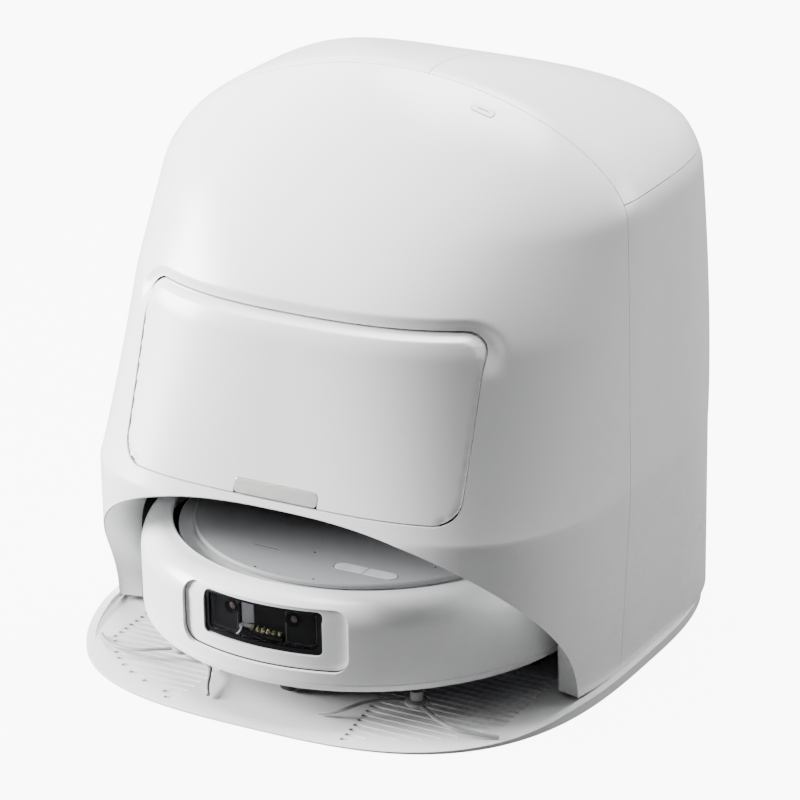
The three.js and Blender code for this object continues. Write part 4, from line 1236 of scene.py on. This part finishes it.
# The ring round the robot: its front half is the sprung bumper, its rear half is fixed. Both are glossy
# white, with a broad shoulder and a fine seam above the skirt. The bumper has the sensor window.
ROBOT_R = 175.5
RIM_R = 150.65
ROBOT_TOP_Z = 103
SHOULDER_Z = 78
BUMPER_BACK_Y = 8
SHOULDER_STEPS = 14
SHOULDER_POWER = 2 / 2.3
WINDOW = (-70, 70, 47, 95, 12)

ring_profile = [(172.2, 33.6), (174.2, 33), (175.0, 34.2), (175.4, 38.0), (174.9, 38.3), (175.5, 38.8)]
for k in range(SHOULDER_STEPS):
    angle = k / SHOULDER_STEPS * math.pi / 2
    ring_profile.append((RIM_R + (ROBOT_R - RIM_R) * math.cos(angle) ** SHOULDER_POWER,
                         SHOULDER_Z + (ROBOT_TOP_Z - 0.8 - SHOULDER_Z) * math.sin(angle) ** SHOULDER_POWER))
ring_profile += [(RIM_R + 1.4, ROBOT_TOP_Z - 0.05), (RIM_R + 0.3, ROBOT_TOP_Z - 0.5),
                 (RIM_R, ROBOT_TOP_Z - 1.2), (RIM_R, 99.6), (159, 98.4), (166, 94.6), (171, 87), (172.2, 80)]


def cropped(name, profile, planes):
    """A turned ring, cut off flat at some planes."""
    ring = turned(name, profile, at(0, 0, 0), steps=220)
    bm = bmesh.new()
    bm.from_mesh(ring.data)
    for place, normal in planes:
        cut = bmesh.ops.bisect_plane(bm, geom=bm.verts[:] + bm.edges[:] + bm.faces[:], dist=1e-7,
                                     plane_co=place, plane_no=normal, clear_outer=True)["geom_cut"]
        bmesh.ops.contextual_create(bm, geom=[g for g in cut if isinstance(g, bmesh.types.BMEdge)])
    bmesh.ops.holes_fill(bm, edges=[e for e in bm.edges if e.is_boundary], sides=0)
    bmesh.ops.recalc_face_normals(bm, faces=bm.faces)
    bm.to_mesh(ring.data)
    bm.free()
    return smoothed(ring, 34)


bumper = cropped("bumper_ring", ring_profile, [(at(0, BUMPER_BACK_Y, 0), Vector((0, 1, 0)))])
combined(bumper, "DIFFERENCE", front_cut("window_tool", rectangle(*WINDOW, 8), -300, -60))
edge_rounded(bumper, 1.0, 3, 36)
placed(bumper, white_gloss, "bumper", "gloss_white_plastic", "robot_bumper")
rear_ring = cropped("robot_rear_ring", ring_profile, [(at(0, BUMPER_BACK_Y + 4, 0), Vector((0, -1, 0)))])
combined(rear_ring, "DIFFERENCE", front_cut("contact_bay_tool", rectangle(-14, 14, 30, 60, 3), 140, 200))
edge_rounded(rear_ring, 0.5, 2, 36)
placed(rear_ring, white_gloss, "robot", "gloss_white_plastic", "robot_rear_shell")
for word, x in (("left", -8), ("right", 8)):
    pad = front_cut("charging_pad_" + word, rectangle(x - 4, x + 4, 36, 50, 1.5), 163.5, 165.4, 0.5)
    placed(smoothed(pad), bright_steel, "robot", "bright_metal")


# The robot's top: a satin deck sunk inside the rim, with a round cover plate that lifts off. Two keys
# share one pill-shaped well in it, its near-black floor painted shade in the gaps round them. A status
# slit shows beside them, and four flat dark discs are painted shade for four pinholes.
PLATE_R = 135.35
PLATE_TOP_Z = 100
KEY_LEFT_X = 24
KEY_RIGHT_X = 76
KEY_FRONT_Y = -104.5
KEY_BACK_Y = -93.5
KEY_CORNER = 5.49
KEY_SPLIT_X = 50

plate_satin = moulded("plate_satin", (0.36, 0.365, 0.375), 0.34, 1100, 0.12, 0.975)
deck_profile = eased(((0, 90.2), (143.6, 90.2), (146.6, 91.4), (146.6, 95.5), (138.4, 95.5),
                                          (137.2, 95.2), (0, 95.2)), 0.7)
deck = turned("robot_deck_plate", deck_profile, at(0, 0, 0), steps=200)


def key_well(grow):
    return rectangle(KEY_LEFT_X - grow, KEY_RIGHT_X + grow, KEY_FRONT_Y - grow, KEY_BACK_Y + grow,
                     KEY_CORNER + grow, 10)


combined(deck, "DIFFERENCE", slab("key_deck_tool", key_well(0.8), 80, 120))
combined(deck, "DIFFERENCE", front_cut("sensor_bay_tool", rectangle(-73, 73, 40, 100, 2), -300, -139))
edge_rounded(deck, 0.3, 2, 36)
placed(deck, pale_satin, "robot", "satin_pale_plastic", "robot_deck")

plate_profile = eased(((0, 95.6), (PLATE_R - 1.2, 95.6), (PLATE_R, 96.6), (PLATE_R, 99),
                                           (PLATE_R - 1.3, PLATE_TOP_Z), (0, PLATE_TOP_Z)), 0.25, 3)
plate = turned("cover_plate", plate_profile, at(0, 0, 0), steps=220)
combined(plate, "DIFFERENCE", slab("key_plate_tool", key_well(0.5), 80, 120))
slit = rectangle(-49, -25, -94.7, -93.3, 0.69, 6)
combined(plate, "DIFFERENCE", slab("slit_tool", slit, 99.2, 105))
edge_rounded(plate, 0.3, 2, 36)
placed(plate, plate_satin, "robot", "satin_pale_plastic", "robot_top_plate")

dark_gloss = moulded("dark_gloss", (0.006, 0.006, 0.007), 0.2, 1400, 0.03, 0.9)
gap_shade_charcoal = moulded("gap_shade_charcoal", (0.03, 0.03, 0.032), 0.5, 1200, 0.15, 0.9)
slit_light = slab("status_slit", rectangle(-48.8, -25.2, -94.5, -93.5, 0.49, 6), 98.9, 99.7, 0.15)
placed(smoothed(slit_light), dark_gloss, "robot", "satin_pale_plastic")
# Each pinhole is a flat dark disc on the plate, not a hole: painted shade.
pinhole_shade_profile = eased(((0, 99.4), (0.9, 99.4), (0.9, 100.04), (0, 100.04)), 0.1)
for i, (x, y) in enumerate(((-26, -129), (23, -128.5), (0, -87), (92, -70))):
    hole = turned("pinhole_%d" % i, pinhole_shade_profile, at(x, y, 0), steps=20)
    placed(hole, dark_gloss, "robot", "satin_pale_plastic")

# The well's near-black floor is painted shade in the gaps round and between the two keys.
well_floor = slab("key_well_floor", key_well(0.45), 95.25, 96.4, 0.1)
placed(smoothed(well_floor), gap_shade_charcoal, "robot", "satin_pale_plastic")

for word, x0, x1, end in (("home", KEY_LEFT_X, KEY_SPLIT_X - 0.5, -3),
                          ("power", KEY_SPLIT_X + 0.5, KEY_RIGHT_X, 3)):
    key = slab(word + "_key_cap", key_well(-0.3), 94, PLATE_TOP_Z + 0.1)
    half = rectangle(x0 + min(end, 0), x1 + max(end, 0), -120, -80, 0.2)
    combined(key, "INTERSECT", slab("key_half_tool", half, 90, 110))
    dish = turned("key_dish_tool", [(0, 99.7), (4.6, 100.05), (4.9, 102), (0, 102)],
                  at((x0 + x1) / 2, (KEY_FRONT_Y + KEY_BACK_Y) / 2, 0), steps=48)
    combined(key, "DIFFERENCE", dish)
    edge_rounded(key, 0.6, 3, 36)
    placed(key, pale_satin, word + "_key", "satin_pale_plastic", word + "_button")


# The sensor head behind the bumper's window: a pale frame, a black glossy bezel, two dark housings
# with fisheye cameras, and a middle bay with a light bar, a white hook and a row of gilt contacts.
# The clear window closes it in front.
FACE_R = 171.5
PANE = (-50, 50, 58, 92, 5)

frame_outline = rectangle(-69.7, 69.7, WINDOW[2] + 0.3, WINDOW[3] - 0.3, 11.7, 8)
frame_block = front_cut("sensor_bezel", frame_outline, -300, -141)
face_profile = [(0, 40), (FACE_R - 2.2, 40), (FACE_R, 50), (FACE_R, 84), (FACE_R - 5.5, 100), (0, 100)]
combined(frame_block, "INTERSECT", turned("face_drum", face_profile, at(0, 0, 0), steps=220))
combined(frame_block, "DIFFERENCE", front_cut("pane_tool", rectangle(*PANE, 6), -300, -147))
edge_rounded(frame_block, 0.9, 3, 36)
placed(frame_block, white_satin, "robot", "satin_pale_plastic", "sensor_frame")


def drum_shell(name, outline, radius_out, radius_in, edge):
    """A curved plate: an outline seen from the front, on a drum round the robot's axis."""
    piece = front_cut(name, outline, -300, -120)
    profile = [(radius_in, 40), (radius_out, 40), (radius_out, 110), (radius_in, 110)]
    combined(piece, "INTERSECT", turned("drum", profile, at(0, 0, 0), steps=260))
    return edge_rounded(piece, edge, 2, 36)


bezel = drum_shell("window_bezel", rectangle(-49.8, 49.8, 58.2, 91.8, 4.8, 6), 169.6, 166.8, 0.3)
bezel_hole = rectangle(-45.6, 45.6, 62, 90.6, 3.4, 6)
combined(bezel, "DIFFERENCE", front_cut("bezel_hole_tool", bezel_hole, -300, -100))
edge_rounded(bezel, 0.25, 2, 36)
placed(bezel, dark_gloss, "robot", "black_window")


smoked_window = clear_plastic("smoked_window", 1, 1.12, 24, 2, (0.66, 0.67, 0.69), (0.74, 0.74, 0.76),
                              (0, 0.04))
pane = drum_shell("window_pane", rectangle(-45.4, 45.4, 62.2, 90.4, 3.2, 6), 168.9, 168.1, 0.1)
placed(pane, smoked_window, "robot", "black_window", "camera_window")

charcoal = moulded("charcoal", (0.011, 0.011, 0.012), 0.38, 1200, 0.2, 0.9)
lens_black = moulded("lens_black", (0.008, 0.008, 0.009), 0.22, 1200, 0.05, 0.9)
pale_line = moulded("pale_line", (0.16, 0.16, 0.165), 0.4, 900, 0.1, 0.95)


def lens_glass():
    """Coated glass that turns from violet to brown."""
    material = bpy.data.materials.new("coated_lens")
    material.use_nodes = True
    nodes, links = material.node_tree.nodes, material.node_tree.links
    shader = nodes["Principled BSDF"]
    shader.inputs["Roughness"].default_value = 0.04
    shader.inputs["Coat Weight"].default_value = 1
    shader.inputs["Coat Roughness"].default_value = 0.02
    place = nodes.new("ShaderNodeTexCoord")
    rings = nodes.new("ShaderNodeTexNoise")
    rings.inputs["Scale"].default_value = 160
    tint = nodes.new("ShaderNodeValToRGB")
    tint.color_ramp.elements[0].position = 0.35
    tint.color_ramp.elements[0].color = (0.05, 0.03, 0.06, 1)
    tint.color_ramp.elements[1].position = 0.7
    tint.color_ramp.elements[1].color = (0.16, 0.11, 0.1, 1)
    links.new(place.outputs["Object"], rings.inputs["Vector"])
    links.new(rings.outputs["Fac"], tint.inputs["Fac"])
    links.new(tint.outputs["Color"], shader.inputs["Base Color"])
    return material


coated_lens = lens_glass()
gilt = metal("gilt", (0.72, 0.66, 0.36), 0.25, (1, 1, 1), 500)


def matt_lustre(*materials):
    """Dark parts that hardly mirror the lights."""
    for material in materials:
        material.node_tree.nodes["Principled BSDF"].inputs["Specular IOR Level"].default_value = 0.12


matt_lustre(charcoal, lens_black, dark_gloss)
HOUSING_R = 165.8
CAMERA_X = 26
CAMERA_Z = 82.5
DOME_R = 3.1
DOME_TALL = 1.9
DOME_FOOT = -2.1
BARREL_PROFILE = eased(((0, -12), (5.3, -12), (5.3, -0.6), (5.9, -0.3), (5.9, 0.5), (5.2, 0.9), (4.6, 0.2),
                        (4.2, -1.4), (3.7, -1.4), (3.6, -0.4), (3.2, -0.4), (3.0, -2.2), (0, -2.2)), 0.25, 3)
DOME_STEPS = 10
DOME_PROFILE = [(DOME_R * math.sin(a / DOME_STEPS * math.pi / 2),
                 DOME_TALL * math.cos(a / DOME_STEPS * math.pi / 2) + DOME_FOOT)
                for a in range(DOME_STEPS + 1)] + [(0, DOME_FOOT)]


def lens_bore(side, radius):
    """A round tool through a housing at its camera, with a radius in millimetres."""
    profile = [(0, -30), (radius, -30), (radius, 30), (0, 30)]
    return turned("lens_tool", profile, at(side * CAMERA_X, -160, CAMERA_Z), (0, -1, 0), 64)


for word, side in (("left", -1), ("right", 1)):
    x0, x1 = sorted((side * 19, side * 44.6))
    housing = drum_shell("camera_housing_" + word, rectangle(x0, x1, 62.6, 90.2, 3, 6), HOUSING_R, 150, 0.5)
    combined(housing, "DIFFERENCE", lens_bore(side, 5.4))
    edge_rounded(housing, 0.3, 2, 36)
    placed(housing, charcoal, "robot", "dark_plastic")
    outline_ring = drum_shell("housing_line_" + word, rectangle(x0 + 1.2, x1 - 1.2, 63.8, 89.2, 2.4, 6),
                              HOUSING_R + 0.12, HOUSING_R - 0.6, 0.05)
    inside = rectangle(x0 + 1.6, x1 - 1.6, 64.2, 88.8, 2, 6)
    combined(outline_ring, "DIFFERENCE", front_cut("line_tool", inside, -300, -100))
    combined(outline_ring, "DIFFERENCE", lens_bore(side, 6.4))
    placed(smoothed(outline_ring), pale_line, "robot", "grey_plastic")
    seat = at(side * CAMERA_X, -math.sqrt(HOUSING_R ** 2 - CAMERA_X ** 2), CAMERA_Z)
    look = (side * 0.06, -1, 0.02)
    barrel = turned("camera_barrel_" + word, BARREL_PROFILE, seat, look, 64)
    placed(barrel, lens_black, "robot", "dark_plastic", "camera_" + word)
    dome = turned("camera_glass_" + word, DOME_PROFILE, seat, look, 48)
    placed(dome, coated_lens, "robot", "black_window")

bay = drum_shell("middle_bay", rectangle(-19, 19, 60.5, 90.6, 1, 3), 158, 150, 0.3)
placed(bay, charcoal, "robot", "grey_plastic", "light_module")
panel_corners = [at(*p) for p in ((-17.8, -162.6, 70), (-10.6, -158.4, 70), (-10.6, -158.4, 89.6),
                                  (-17.8, -162.6, 89.6))]
panel = pushed("light_panel", panel_corners, (0, 0.0012, 0), 0.25)
placed(smoothed(panel), white_satin, "robot", "grey_plastic")
bar_corners = [at(*p) for p in ((-18, -164.4, 71.2), (-9.6, -160.5, 69), (-9.6, -160.5, 66.6),
                                (-18, -164.4, 68.8))]
bar = pushed("light_bar", bar_corners, (0, 0.0018, 0), 0.4)
placed(smoothed(bar), white_gloss, "robot", "grey_plastic")
hook_run = curve_through([at(*p) for p in ((-17.5, -165.2, 71), (-17.2, -165.6, 68), (-18.2, -165.6, 65),
                                           (-20.5, -165.2, 62.8))], 6)
hook = rod_along("white_hook", hook_run, lambda t: 1.3, lambda t: 0.8, 10)
placed(smoothed(hook), white_gloss, "robot", "grey_plastic")
ledge = drum_shell("contact_ledge", rectangle(-16.5, 17, 61.6, 66, 0.8, 3), 165.4, 156, 0.4)
placed(ledge, charcoal, "robot", "dark_plastic")
CONTACT_COUNT = 6
CONTACT_PITCH = 4.6
for k in range(CONTACT_COUNT):
    x = -10 + k * CONTACT_PITCH
    corners = [at(x + across, y, z) for across, y, z in (
        (-1.5, -163.4, 66.1), (1.5, -163.4, 66.1), (1.2, -161.8, 69.4), (-1.2, -161.8, 69.4))]
    tooth = smoothed(pushed("gilt_contact_%d" % k, corners, (0, 0.0022, 0.0003), 0.35))
    stands_for = ["contact_strip"] if k == 0 else []
    placed(tooth, gilt, "robot", "gold_contacts", *stands_for)
